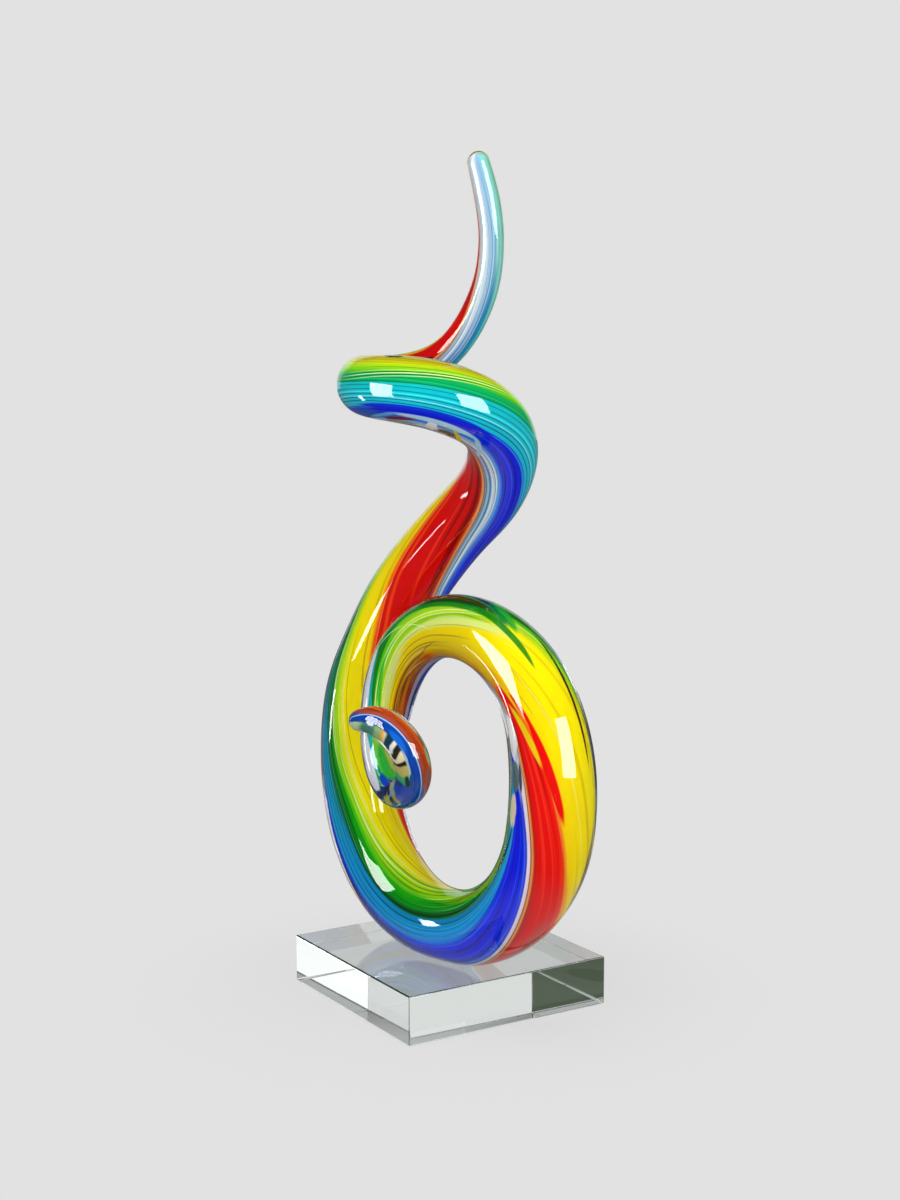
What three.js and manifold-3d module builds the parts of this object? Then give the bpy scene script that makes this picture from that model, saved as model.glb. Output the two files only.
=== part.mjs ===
// Glass sculpture on a clear block: one bent and twisted rod of coloured canes under a clear casing.
// Millimetres, +Z up. Origin: centre of the block's underside. X and Y run along the block's edges.
import * as THREE from 'three';
import { mergeVertices } from 'three/addons/utils/BufferGeometryUtils.js';
import Module from 'manifold-3d';

// Clear block
const BASE_SIDE = 89;
const BASE_THICK = 19;
const BASE_BEVEL = 0.6;

// Adhesive between the block and the rod's ground flat
const BOND_THICK = 0.5;
const BOND_LENGTH = 40;
const BOND_WIDTH = 15;

// How deep the rod's lowest side is ground away to give a flat
const GRIND_DEPTH = 4;

// Whole rod: 1 is the thickness in the rows below
const ROD_SCALE = 1;

// Length of one unit in the rows of hook, ring and coil: their reaches, steps, heights and radii
const ROW_UNIT = 1;

// Upright plane of the ring and the hook: its heading seen from above, and the ring's place
const PLANE_HEADING = -80;
const RING_X = -11.5;
const RING_Y = -12.5;

// The hook's centre lies inside the ring, off the ring's centre along the plane and in height
const HOOK_ALONG = -3.5;
const HOOK_ABOVE = 10.5;

// Upright axis of the coil and the tail, off the ring's centre
const COIL_X = -2.5;
const COIL_Y = -0.5;

// Clearance between neighbouring pieces of glass, and the least width of a cane
const GAP = 0.3;
const LEAST_CANE = 0.5;

// Faces round the casing, and steps along the rod: shorter where it bends or twists more
const SIDES = 14;
const STEPS = 98;
const LONGEST_STEP = 12;
const BEND_PER_STEP = 16;
const TWIST_PER_STEP = 22;
const END_STEPS = 4;

// Hook, from its free end inwards: turn in degrees, reach from the hook's centre,
// side step out of the plane, rod radius
const HOOK = [
  [111, 14.7, 33.6, 3.6],
  [96, 15.2, 32.2, 4.9],
  [71, 15.4, 30.3, 6.2],
  [41, 15.8, 28, 6.7],
  [11, 16.3, 25.4, 6.8],
  [-20, 16, 22.5, 6.7],
  [-62, 15.3, 19.5, 6.5],
  [-106, 16.2, 16.6, 6.7],
  [-143, 16.8, 13.6, 7.2],
  [-180, 18, 10.7, 8.5],
  [-212, 22, 8.3, 9.9],
  [-235, 29.8, 5.8, 10.8],
  [-254, 38.5, 3.5, 11.3],
];

// Ring, from its top round to the left: turn, reach from the ring's centre, side step, rod radius
const RING = [
  [89, 57.5, 1.8, 11.7],
  [68, 62.4, 0.9, 12.6],
  [47, 65.5, 0.8, 13.5],
  [30, 65, 0.6, 14.5],
  [14, 62.4, 0, 15.6],
  [-3, 60, -1.1, 16.1],
  [-23, 59.3, -2.6, 16.1],
  [-50, 58.8, -4.7, 15.3],
  [-80, 60.8, -6.6, 14.7],
  [-106, 63.8, -7.9, 14.7],
  [-127, 64.8, -8.6, 15.4],
  [-147, 62.8, -9.2, 15.9],
  [-165, 61, -9.9, 16],
  [-184, 60, -10, 16],
  [-204, 62, -10.5, 15.8],
];

// Riser, coil and tail round the coil's axis: turn, reach, height over the ring's centre, rod radius
const COIL = [
  [81.5, 53, 44.5, 15.3],
  [73.5, 46.6, 63.2, 14.8],
  [61.5, 37.9, 78.5, 14.3],
  [43, 31, 91.8, 13.8],
  [10, 27.7, 106.5, 13.6],
  [-28, 26, 123, 13.2],
  [-67, 26, 135.5, 12.9],
  [-96, 26, 142, 12.8],
  [-124, 26, 145.9, 12.6],
  [-153, 26, 147.7, 12.1],
  [-190, 25.5, 148.3, 11.4],
  [-221, 26, 149, 10.8],
  [-251, 26.3, 150.2, 9.4],
  [-275, 26.3, 152.2, 7.6],
  [-295, 25, 155.2, 6.6],
  [-312, 23.2, 159.4, 6],
  [-330, 21.5, 166, 5.7],
  [-347, 20.7, 173.5, 5.5],
  [-363, 20.7, 181.5, 5.3],
  [-376, 21.2, 189.8, 5],
  [-390, 21.2, 206, 4.7],
  [-396, 18.8, 220.3, 4.7],
  [-401, 16.2, 230.6, 4],
];

// Glass beyond the first and the last row, which rounds the ends off
const NOSE = 3;

// Casing bore as a share of the rod radius, at marks along the rod (0 hook end, 1 tail end)
const CORE_SHARE = [
  [0, 0.46],
  [0.12, 0.5],
  [0.24, 0.58],
  [0.5, 0.62],
  [0.7, 0.65],
  [1, 0.66],
];

// Canes round the core, in order, with their colours
const CANES = [
  { name: 'cane_blue', color: 0x1030c8, arcs: 3 },
  { name: 'cane_turquoise', color: 0x12a5c4, arcs: 4 },
  { name: 'cane_green', color: 0x149a2c, arcs: 3 },
  { name: 'cane_lime', color: 0x9ad21e, arcs: 2 },
  { name: 'cane_yellow', color: 0xf5d70a, arcs: 5 },
  { name: 'cane_orange', color: 0xee7a14, arcs: 1 },
  { name: 'cane_red', color: 0xd8140e, arcs: 4 },
  { name: 'cane_coral', color: 0xf0915a, arcs: 1 },
  { name: 'cane_pale', color: 0xdceaf2, arcs: 3 },
];

// At marks along the rod: where the blue cane starts round the core (its twist, in degrees),
// then how wide each cane is, in the order above
const TWIST = [
  [0, 505, 45, 125, 60, 60, 12, 20, 16, 4, 12],
  [0.06, 490, 40, 125, 60, 58, 18, 22, 18, 4, 12],
  [0.125, 402, 28, 158, 32, 38, 44, 14, 22, 4, 16],
  [0.19, 384, 15, 110, 66, 34, 93, 8, 14, 4, 12],
  [0.24, 352, 12, 90, 45, 25, 142, 4, 14, 4, 18],
  [0.272, 336, 12, 45, 38, 42, 147, 4, 38, 4, 28],
  [0.3, 292, 18, 40, 50, 62, 126, 4, 46, 4, 8],
  [0.325, 271, 46, 22, 46, 62, 119, 4, 52, 4, 7],
  [0.35, 250, 55, 24, 45, 54, 102, 4, 69, 4, 7],
  [0.4, 203, 70, 42, 50, 50, 68, 4, 66, 4, 6],
  [0.45, 188, 64, 48, 35, 42, 92, 4, 62, 4, 6],
  [0.5, 184, 59, 49, 26, 14, 84, 4, 98, 4, 15],
  [0.55, 152, 60, 42, 14, 19, 76, 4, 116, 4, 20],
  [0.6, 92, 70, 52, 16, 18, 54, 5, 108, 4, 22],
  [0.65, 35, 73, 55, 20, 22, 54, 5, 104, 4, 19],
  [0.7, 3, 54, 58, 20, 30, 60, 4, 90, 4, 28],
  [0.735, -18, 51, 58, 20, 34, 60, 4, 80, 4, 36],
  [0.775, -28, 28, 68, 22, 35, 60, 4, 72, 4, 60],
  [0.805, -27, 23, 57, 23, 25, 64, 4, 80, 4, 74],
  [0.825, -38, 26, 56, 18, 22, 66, 4, 84, 4, 74],
  [0.9, -126, 32, 65, 35, 42, 52, 6, 80, 6, 42],
  [0.95, -145, 35, 65, 35, 37, 42, 6, 58, 6, 76],
  [1, -160, 40, 60, 35, 35, 37, 6, 40, 6, 101],
];

const rad = THREE.MathUtils.degToRad;
const clamp = THREE.MathUtils.clamp;
const lerp = THREE.MathUtils.lerp;

// Values of a table of rows [mark, value, value, ...] at any mark
function readTable(table, mark) {
  let row = 0;
  while (row < table.length - 2 && table[row + 1][0] < mark) row++;
  const from = table[row];
  const to = table[row + 1];
  const t = clamp((mark - from[0]) / (to[0] - from[0]), 0, 1);
  const eased = t * t * (3 - 2 * t);
  return from.slice(1).map((value, i) => lerp(value, to[i + 1], eased));
}

// The rows as points [x, y, height over the ring's centre, rod radius]
function rowPoints() {
  const heading = rad(PLANE_HEADING);
  const along = [Math.cos(heading), Math.sin(heading)];
  const side = [Math.sin(heading), -Math.cos(heading)];
  const inPlane = (s, w, height, rod) => [
    RING_X + s * along[0] + w * side[0],
    RING_Y + s * along[1] + w * side[1],
    height,
    rod * ROD_SCALE,
  ];
  const sized = (rows) => rows.map(([turn, ...sizes]) => [turn, ...sizes.map((size) => size * ROW_UNIT)]);
  const points = [];
  for (const [turn, reach, w, rod] of sized(HOOK)) {
    const s = HOOK_ALONG + reach * Math.cos(rad(turn));
    points.push(inPlane(s, w, HOOK_ABOVE + reach * Math.sin(rad(turn)), rod));
  }
  for (const [turn, reach, w, rod] of sized(RING)) {
    points.push(inPlane(reach * Math.cos(rad(turn)), w, reach * Math.sin(rad(turn)), rod));
  }
  for (const [turn, reach, height, rod] of sized(COIL)) {
    const x = RING_X + COIL_X + reach * Math.cos(rad(turn));
    const y = RING_Y + COIL_Y + reach * Math.sin(rad(turn));
    points.push([x, y, height, rod * ROD_SCALE]);
  }
  return points;
}

function distance(p, q) {
  return Math.hypot(p[0] - q[0], p[1] - q[1], p[2] - q[2]);
}

function mix(p, q, t) {
  return p.map((value, i) => value + (q[i] - value) * t);
}

// A point further out on the line through two points, with the rod radius kept
function beyond(inner, outer, reach) {
  const point = mix(outer, inner, -reach / distance(inner, outer));
  point[3] = outer[3];
  return point;
}

// Smooth curve through the points (Catmull-Rom, centripetal)
function curveThrough(points, perSpan) {
  const ends = [beyond(points[1], points[0], NOSE), beyond(points.at(-2), points.at(-1), NOSE)];
  const knots = [ends[0], ...points, ends[1]];
  const all = [mix(knots[0], knots[1], -1), ...knots, mix(knots.at(-1), knots.at(-2), -1)];
  const curve = [];
  for (let i = 1; i < all.length - 2; i++) {
    const [p0, p1, p2, p3] = all.slice(i - 1, i + 3);
    const t1 = Math.sqrt(distance(p0, p1));
    const t2 = t1 + Math.sqrt(distance(p1, p2));
    const t3 = t2 + Math.sqrt(distance(p2, p3));
    for (let k = 0; k < perSpan; k++) {
      const t = lerp(t1, t2, k / perSpan);
      const a1 = mix(p0, p1, t / t1);
      const a2 = mix(p1, p2, (t - t1) / (t2 - t1));
      const a3 = mix(p2, p3, (t - t2) / (t3 - t2));
      const b1 = mix(a1, a2, t / t2);
      const b2 = mix(a2, a3, (t - t1) / (t3 - t1));
      curve.push(mix(b1, b2, (t - t1) / (t2 - t1)));
    }
  }
  curve.push(ends[1]);
  return curve;
}

// The curve at equal steps of a running total that grows by weight(i) for each millimetre
function resample(curve, count, weight) {
  const total = [0];
  for (let i = 1; i < curve.length; i++) {
    total.push(total[i - 1] + distance(curve[i - 1], curve[i]) * weight(i));
  }
  const result = [];
  let i = 1;
  for (let k = 0; k <= count; k++) {
    const target = (total.at(-1) * k) / count;
    while (i < curve.length - 1 && total[i] < target) i++;
    result.push(mix(curve[i - 1], curve[i], (target - total[i - 1]) / (total[i] - total[i - 1])));
  }
  return result;
}

// Even out small bumps, ends kept
function smooth(curve, passes) {
  let result = curve;
  for (let n = 0; n < passes; n++) {
    result = result.map((p, i) => {
      if (i === 0 || i === result.length - 1) return p;
      return p.map((value, k) => (result[i - 1][k] + 2 * value + result[i + 1][k]) / 4);
    });
  }
  return result;
}

const vector = (p) => new THREE.Vector3(p[0], p[1], p[2]);

// Rod stations: centre, two directions across the rod that don't spin with it, rod radius, mark
function makeStations() {
  const rough = curveThrough(rowPoints(), 16);
  const fine = smooth(resample(rough, 800, () => 1), 50);
  const tangents = fine.map((p, i) => {
    const before = vector(fine[Math.max(i - 1, 0)]);
    return vector(fine[Math.min(i + 1, fine.length - 1)]).sub(before).normalize();
  });
  const across = [new THREE.Vector3(1, 0, 0)];
  across[0].addScaledVector(tangents[0], -across[0].dot(tangents[0])).normalize();
  for (let i = 1; i < fine.length; i++) {
    const chord = vector(fine[i]).sub(vector(fine[i - 1])).normalize();
    const carried = across[i - 1].clone().reflect(chord);
    const turned = tangents[i - 1].clone().reflect(chord);
    const half = tangents[i].clone().sub(turned).normalize();
    carried.reflect(half);
    carried.addScaledVector(tangents[i], -carried.dot(tangents[i])).normalize();
    across.push(carried);
  }
  const length = fine.slice(1).reduce((sum, p, i) => sum + distance(fine[i], p), 0);
  const spacing = length / (fine.length - 1);
  const carried = fine.map((p, i) => [...p, i / (fine.length - 1), ...across[i].toArray()]);
  const bend = tangents.map((t, i) => {
    const next = tangents[Math.min(i + 4, tangents.length - 1)];
    const previous = tangents[Math.max(i - 4, 0)];
    return THREE.MathUtils.radToDeg(previous.angleTo(next)) / (8 * spacing);
  });
  const twist = fine.map((p, i) => {
    const from = readTable(TWIST, (i - 4) / (fine.length - 1))[0];
    const to = readTable(TWIST, (i + 4) / (fine.length - 1))[0];
    return Math.abs(to - from) / (8 * spacing);
  });
  const weight = (i) => {
    const fromEnd = Math.min(i, fine.length - 1 - i) * spacing;
    const rounded = fromEnd < fine[i][3] ? END_STEPS / fine[i][3] : 0;
    return Math.max(1 / LONGEST_STEP, bend[i] / BEND_PER_STEP, twist[i] / TWIST_PER_STEP, rounded);
  };
  return resample(carried, STEPS, weight).map((row, i, rows) => {
    const before = vector(rows[Math.max(i - 1, 0)]);
    const tangent = vector(rows[Math.min(i + 1, rows.length - 1)]).sub(before).normalize();
    const u = new THREE.Vector3(row[5], row[6], row[7]);
    u.addScaledVector(tangent, -u.dot(tangent)).normalize();
    return {
      centre: vector(row),
      tangent,
      u,
      v: tangent.clone().cross(u),
      rod: row[3],
      mark: row[4],
      fromEnds: Math.min(row[4], 1 - row[4]) * length,
    };
  });
}

// A point in a station's section, by its angle and its distance from the centre
function sectionPoint(station, angle, reach, slide = 0) {
  return station.centre.clone()
    .addScaledVector(station.u, reach * Math.cos(angle))
    .addScaledVector(station.v, reach * Math.sin(angle))
    .addScaledVector(station.tangent, slide);
}

// Closed skin over loops of equal length, with a flat fan on each end.
// The quads in the set flipped are cut along their other diagonal.
function skin(loops, flipped = new Set()) {
  const count = loops[0].length;
  const positions = loops.flat().flatMap((p) => p.toArray());
  const index = [];
  for (let i = 0; i < loops.length - 1; i++) {
    for (let k = 0; k < count; k++) {
      const a = i * count + k;
      const b = i * count + ((k + 1) % count);
      const c = a + count;
      const d = b + count;
      if (flipped.has(k)) index.push(a, b, c, b, d, c);
      else index.push(a, b, d, a, d, c);
    }
  }
  const last = (loops.length - 1) * count;
  for (let k = 1; k < count - 1; k++) {
    index.push(0, k + 1, k);
    index.push(last, last + k, last + k + 1);
  }
  const geometry = new THREE.BufferGeometry();
  geometry.setAttribute('position', new THREE.Float32BufferAttribute(positions, 3));
  geometry.setIndex(index);
  return geometry;
}

function coreRadius(station) {
  return station.rod * readTable(CORE_SHARE, station.mark)[0];
}

// How far a rounded end has closed in: 1 on the rod, less near its ends
function rounding(station) {
  const t = clamp(1 - station.fromEnds / station.rod, 0, 1);
  return Math.sqrt(1 - t * t * 0.98);
}

function roundLoop(station, radius) {
  const loop = [];
  for (let k = 0; k < SIDES; k++) loop.push(sectionPoint(station, rad((360 * k) / SIDES), radius));
  return loop;
}

// Clear outer glass: the bore is open at the hook's end and blind at the tail's
function casingGeometry(stations) {
  const open = stations.findIndex((s) => s.fromEnds > 0.5 * s.rod);
  const outer = stations.slice(open);
  const bored = outer.filter((s) => s.mark < 0.5 || s.fromEnds > 0.8 * s.rod);
  const boreScale = 1 / Math.cos(Math.PI / SIDES);
  const boreLoops = bored.map((s) => roundLoop(s, (coreRadius(s) + GAP) * boreScale)).reverse();
  const outerLoops = outer.map((s) => roundLoop(s, s.rod * rounding(s)));
  return skin([...boreLoops, ...outerLoops]);
}

// One cane: a wedge of the core from near its middle out to the core's radius
function caneGeometry(stations, number) {
  const open = stations.findIndex((s) => s.fromEnds > 0.5 * s.rod);
  const filled = stations.slice(open).filter((s) => s.mark < 0.5 || s.fromEnds > 1.05 * s.rod);
  const { arcs } = CANES[number];
  const loops = filled.map((s) => {
    const radius = coreRadius(s);
    const [twist, ...widths] = readTable(TWIST, s.mark);
    const least = THREE.MathUtils.radToDeg((GAP + LEAST_CANE) / radius);
    const spare = (360 - CANES.length * least) / widths.reduce((sum, w) => sum + w, 0);
    const spans = widths.map((w) => least + w * spare);
    const start = twist + spans.slice(0, number).reduce((sum, w) => sum + w, 0);
    const trim = Math.asin(GAP / 2 / radius);
    const from = rad(start) + trim;
    const to = rad(start + spans[number]) - trim;
    const middle = (from + to) / 2;
    const loop = [sectionPoint(s, middle, 2 * GAP)];
    for (let k = 0; k <= arcs; k++) loop.push(sectionPoint(s, lerp(from, to, k / arcs), radius));
    return loop;
  });
  return skin(loops, new Set([0]));
}

// Block with every edge ground off
function baseGeometry() {
  const half = BASE_SIDE / 2;
  const outline = (inset, z) => {
    const far = half - inset;
    const near = far - BASE_BEVEL;
    const corners = [[far, -near], [far, near], [near, far], [-near, far],
      [-far, near], [-far, -near], [-near, -far], [near, -far]];
    return corners.map(([x, y]) => new THREE.Vector3(x, y, z));
  };
  return skin([
    outline(BASE_BEVEL, 0),
    outline(0, BASE_BEVEL),
    outline(0, BASE_THICK - BASE_BEVEL),
    outline(BASE_BEVEL, BASE_THICK),
  ]);
}

// Oval film of adhesive under the ground flat
function bondGeometry(place) {
  const heading = rad(PLANE_HEADING);
  const oval = (z) => {
    const loop = [];
    for (let k = 0; k < 32; k++) {
      const s = (BOND_LENGTH / 2) * ROD_SCALE * Math.cos(rad((360 * k) / 32));
      const w = (BOND_WIDTH / 2) * ROD_SCALE * Math.sin(rad((360 * k) / 32));
      const x = place.x + s * Math.cos(heading) - w * Math.sin(heading);
      const y = place.y + s * Math.sin(heading) + w * Math.cos(heading);
      loop.push(new THREE.Vector3(x, y, z));
    }
    return loop;
  };
  return skin([oval(BASE_THICK), oval(BASE_THICK + BOND_THICK)]);
}

const wasm = await Module();
wasm.setup();

function toSolid(geometry) {
  return new wasm.Manifold(new wasm.Mesh({
    numProp: 3,
    vertProperties: new Float32Array(geometry.getAttribute('position').array),
    triVerts: new Uint32Array(geometry.getIndex().array),
  }));
}

function fromSolid(solid) {
  const mesh = solid.getMesh();
  const positions = [];
  for (let i = 0; i < mesh.vertProperties.length; i += mesh.numProp) {
    positions.push(...mesh.vertProperties.slice(i, i + 3));
  }
  const geometry = new THREE.BufferGeometry();
  geometry.setAttribute('position', new THREE.Float32BufferAttribute(positions, 3));
  geometry.setIndex([...mesh.triVerts]);
  return geometry;
}

// The rod is set down so that its lowest side reaches the grind depth under the flat
function setDown(stations) {
  const ring = stations.filter((s) => s.mark > 0.3 && s.mark < 0.6);
  const lowest = ring.reduce((a, b) => (a.centre.z - a.rod < b.centre.z - b.rod ? a : b));
  const lift = BASE_THICK + BOND_THICK - GRIND_DEPTH * ROD_SCALE - (lowest.centre.z - lowest.rod);
  for (const s of stations) s.centre.z += lift;
  return lowest.centre;
}

// What the grinding takes away: everything below the top of the adhesive
function groundAway() {
  const slab = new THREE.BoxGeometry(4 * BASE_SIDE, 4 * BASE_SIDE, BASE_THICK);
  slab.deleteAttribute('normal');
  slab.deleteAttribute('uv');
  slab.translate(0, 0, BASE_THICK / 2 + BOND_THICK);
  return mergeVertices(slab);
}

const stations = makeStations();
const lowestPoint = setDown(stations);
const casing = toSolid(casingGeometry(stations)).subtract(toSolid(groundAway()));

const part = new THREE.Group();
part.name = 'glass_sculpture';

function addPiece(name, geometry, color, roughness) {
  geometry.computeVertexNormals();
  const material = new THREE.MeshStandardMaterial({ color, roughness, metalness: 0 });
  const mesh = new THREE.Mesh(geometry, material);
  mesh.name = name;
  part.add(mesh);
}

addPiece('crystal_base', baseGeometry(), 0xe6f2ec, 0.02);
addPiece('bond_layer', bondGeometry(lowestPoint), 0xf4f6f4, 0.1);
addPiece('clear_casing', fromSolid(casing), 0xeef6f6, 0.02);
CANES.forEach((cane, number) => addPiece(cane.name, caneGeometry(stations, number), cane.color, 0.15));

export default part;
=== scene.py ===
# Glass sculpture: a bent and twisted rod of coloured canes under clear glass, on a clear crystal block.
# Metres, +Z up. Origin: middle of the block's underside. X and Y run along the block's edges.
import math

import bpy
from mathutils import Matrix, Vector


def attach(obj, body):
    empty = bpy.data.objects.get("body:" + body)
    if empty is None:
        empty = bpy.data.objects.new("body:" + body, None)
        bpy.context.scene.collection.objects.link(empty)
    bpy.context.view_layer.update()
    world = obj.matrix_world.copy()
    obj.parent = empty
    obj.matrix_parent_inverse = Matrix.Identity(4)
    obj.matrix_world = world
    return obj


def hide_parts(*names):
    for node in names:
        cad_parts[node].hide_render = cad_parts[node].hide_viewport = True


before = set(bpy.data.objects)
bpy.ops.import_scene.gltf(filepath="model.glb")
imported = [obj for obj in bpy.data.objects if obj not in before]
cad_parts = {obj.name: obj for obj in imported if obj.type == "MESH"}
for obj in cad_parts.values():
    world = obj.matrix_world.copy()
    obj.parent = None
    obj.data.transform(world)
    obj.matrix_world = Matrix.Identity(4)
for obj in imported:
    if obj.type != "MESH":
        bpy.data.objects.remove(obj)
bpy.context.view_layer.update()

MM = 0.001

# ---------------------------------------------------------------- sizes of the real thing, in mm

BASE_SIDE = 89
BASE_THICK = 19
BASE_EDGE = 0.6

BOND_THICK = 0.5
GRIND_DEPTH = 4

PLANE_HEADING = -80
RING_X = -11.5
RING_Y = -12.5
HOOK_ALONG = -3.5
HOOK_ABOVE = 10.5
COIL_X = -2.5
COIL_Y = -0.5
NOSE = 3

# The path: places worked out from one row to the next, steps along it, passes that even it out,
# and the share of it in which the ring touches the block
PLACES_PER_ROW = 16
PATH_STEPS = 800
PATH_PASSES = 50
TOUCHES_WITHIN = (0.3, 0.6)

# Step along the rod, rows of faces on a rounded tip, faces round the rod and round its whole core
STEP = 1.25
TIP_ROWS = 14
SKIN_SIDES = 72
CORE_SIDES = 110

# The core's clear ends, and the free radius along its middle: in mm, and at most as a share
CORE_FROM_HOOK_END = 1.6
CORE_FROM_TAIL_END = 1.7
CORE_MIDDLE = 0.5
CORE_MIDDLE_SHARE = 0.3

# The gap between two canes and a cane's least width, both at a share of the rod's radius
SEAM = 0.02
LEAST_CANE = 0.8
MEASURED_AT = 0.6

# Points this close become one, and edges sharper than this many degrees stay crisp
WELD = 0.004
CREASE = 40

# Hook, from its free end inwards: turn in degrees, reach from the hook's centre,
# side step out of the plane, rod radius
HOOK = [
    (111, 14.7, 33.6, 3.6), (96, 15.2, 32.2, 4.9), (71, 15.4, 30.3, 6.2), (41, 15.8, 28, 6.7),
    (11, 16.3, 25.4, 6.8), (-20, 16, 22.5, 6.7), (-62, 15.3, 19.5, 6.5), (-106, 16.2, 16.6, 6.7),
    (-143, 16.8, 13.6, 7.2), (-180, 18, 10.7, 8.5), (-212, 22, 8.3, 9.9), (-235, 29.8, 5.8, 10.8),
    (-254, 38.5, 3.5, 11.3),
]

# Ring, from its top round to the left: turn, reach from the ring's centre, side step, rod radius
RING = [
    (89, 57.5, 1.8, 11.7), (68, 62.4, 0.9, 12.6), (47, 65.5, 0.8, 13.5), (30, 65, 0.6, 14.5),
    (14, 62.4, 0, 15.6), (-3, 60, -1.1, 16.1), (-23, 59.3, -2.6, 16.1), (-50, 58.8, -4.7, 15.3),
    (-80, 60.8, -6.6, 14.7), (-106, 63.8, -7.9, 14.7), (-127, 64.8, -8.6, 15.4),
    (-147, 62.8, -9.2, 15.9), (-165, 61, -9.9, 16), (-184, 60, -10, 16), (-204, 62, -10.5, 15.8),
]

# Riser, coil and tail round the coil's axis: turn, reach, height over the ring's centre, rod radius
COIL = [
    (81.5, 53, 44.5, 15.3), (73.5, 46.6, 63.2, 14.8), (61.5, 37.9, 78.5, 14.3),
    (43, 31, 91.8, 13.8), (10, 27.7, 106.5, 13.6), (-28, 26, 123, 13.2), (-67, 26, 135.5, 12.9),
    (-96, 26, 142, 12.8), (-124, 26, 145.9, 12.6), (-153, 26, 147.7, 12.1),
    (-190, 25.5, 148.3, 11.4), (-221, 26, 149, 10.8), (-251, 26.3, 150.2, 9.4),
    (-275, 26.3, 152.2, 7.6), (-295, 25, 155.2, 6.6), (-312, 23.2, 159.4, 6),
    (-330, 21.5, 166, 5.7), (-347, 20.7, 173.5, 5.5), (-363, 20.7, 181.5, 5.3),
    (-376, 21.2, 189.8, 5), (-390, 21.2, 206, 4.7), (-396, 18.8, 220.3, 4.7),
    (-401, 16.2, 230.6, 4),
]

# Core radius as a share of the rod radius, at marks along the rod (0 hook end, 1 tail end)
CORE_SHARE = [(0, 0.6), (0.06, 0.62), (0.24, 0.62), (0.5, 0.62), (0.7, 0.65), (1, 0.66)]

CANES = ["cane_blue", "cane_turquoise", "cane_green", "cane_lime", "cane_yellow",
         "cane_orange", "cane_red", "cane_coral", "cane_pale"]

# At marks along the rod: where the blue cane starts round the core (its twist, in degrees),
# then how wide each cane is, in the order above
TWIST = [
    (0, 505, 45, 125, 60, 60, 12, 20, 16, 4, 12),
    (0.06, 490, 40, 125, 60, 58, 18, 22, 18, 4, 12),
    (0.125, 402, 28, 158, 32, 38, 44, 14, 22, 4, 16),
    (0.19, 384, 15, 110, 66, 34, 93, 8, 14, 4, 12),
    (0.24, 352, 12, 90, 45, 25, 142, 4, 14, 4, 18),
    (0.272, 336, 12, 45, 38, 42, 147, 4, 38, 4, 28),
    (0.3, 292, 18, 40, 50, 62, 126, 4, 46, 4, 8),
    (0.325, 271, 46, 22, 46, 62, 119, 4, 52, 4, 7),
    (0.35, 250, 55, 24, 45, 54, 102, 4, 69, 4, 7),
    (0.4, 203, 70, 42, 50, 50, 68, 4, 66, 4, 6),
    (0.45, 188, 64, 48, 35, 42, 92, 4, 62, 4, 6),
    (0.5, 184, 59, 49, 26, 14, 84, 4, 98, 4, 15),
    (0.55, 152, 60, 42, 14, 19, 76, 4, 116, 4, 20),
    (0.6, 92, 70, 52, 16, 18, 54, 5, 108, 4, 22),
    (0.65, 35, 73, 55, 20, 22, 54, 5, 104, 4, 19),
    (0.7, 3, 54, 58, 20, 30, 60, 4, 90, 4, 28),
    (0.735, -18, 51, 58, 20, 34, 60, 4, 80, 4, 36),
    (0.775, -28, 28, 68, 22, 35, 60, 4, 72, 4, 60),
    (0.805, -27, 23, 57, 23, 25, 64, 4, 80, 4, 74),
    (0.825, -38, 26, 56, 18, 22, 66, 4, 84, 4, 74),
    (0.9, -126, 32, 65, 35, 42, 52, 6, 80, 6, 42),
    (0.95, -145, 35, 65, 35, 37, 42, 6, 58, 6, 76),
    (1, -160, 40, 60, 35, 35, 37, 6, 40, 6, 101),
]

# ---------------------------------------------------------------- the rod's path


def read_table(table, mark):
    """Values of a table of rows (mark, value, value, ...) at any mark."""
    row = 0
    while row < len(table) - 2 and table[row + 1][0] < mark:
        row += 1
    before, after = table[row], table[row + 1]
    t = min(max((mark - before[0]) / (after[0] - before[0]), 0), 1)
    eased = t * t * (3 - 2 * t)
    return [a + (b - a) * eased for a, b in zip(before[1:], after[1:])]


def eased_table(table, mark, reach=0.026, steps=6):
    """Values of a table at a mark, evened out over a short stretch on both sides of it."""
    total, weights = None, 0
    for step in range(-steps, steps + 1):
        weight = steps + 1 - abs(step)
        values = read_table(table, min(max(mark + reach * step / steps, 0), 1))
        total = [weight * b + (total[i] if total else 0) for i, b in enumerate(values)]
        weights += weight
    return [value / weights for value in total]


def row_points():
    """The rows as points: x, y, height over the ring's centre, rod radius."""
    heading = math.radians(PLANE_HEADING)
    along = (math.cos(heading), math.sin(heading))
    side = (math.sin(heading), -math.cos(heading))

    def in_plane(s, w, height, rod):
        return [RING_X + s * along[0] + w * side[0], RING_Y + s * along[1] + w * side[1], height, rod]

    points = []
    for turn, reach, w, rod in HOOK:
        s = HOOK_ALONG + reach * math.cos(math.radians(turn))
        points.append(in_plane(s, w, HOOK_ABOVE + reach * math.sin(math.radians(turn)), rod))
    for turn, reach, w, rod in RING:
        s = reach * math.cos(math.radians(turn))
        points.append(in_plane(s, w, reach * math.sin(math.radians(turn)), rod))
    for turn, reach, height, rod in COIL:
        x = RING_X + COIL_X + reach * math.cos(math.radians(turn))
        y = RING_Y + COIL_Y + reach * math.sin(math.radians(turn))
        points.append([x, y, height, rod])
    return points


def distance(p, q):
    return math.sqrt(sum((a - b) ** 2 for a, b in zip(p[:3], q[:3])))


def mix(p, q, t):
    return [a + (b - a) * t for a, b in zip(p, q)]


def beyond(inner, outer, reach):
    """A point further out on the line through two points, with the rod radius kept."""
    point = mix(outer, inner, -reach / distance(inner, outer))
    point[3] = outer[3]
    return point


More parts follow.
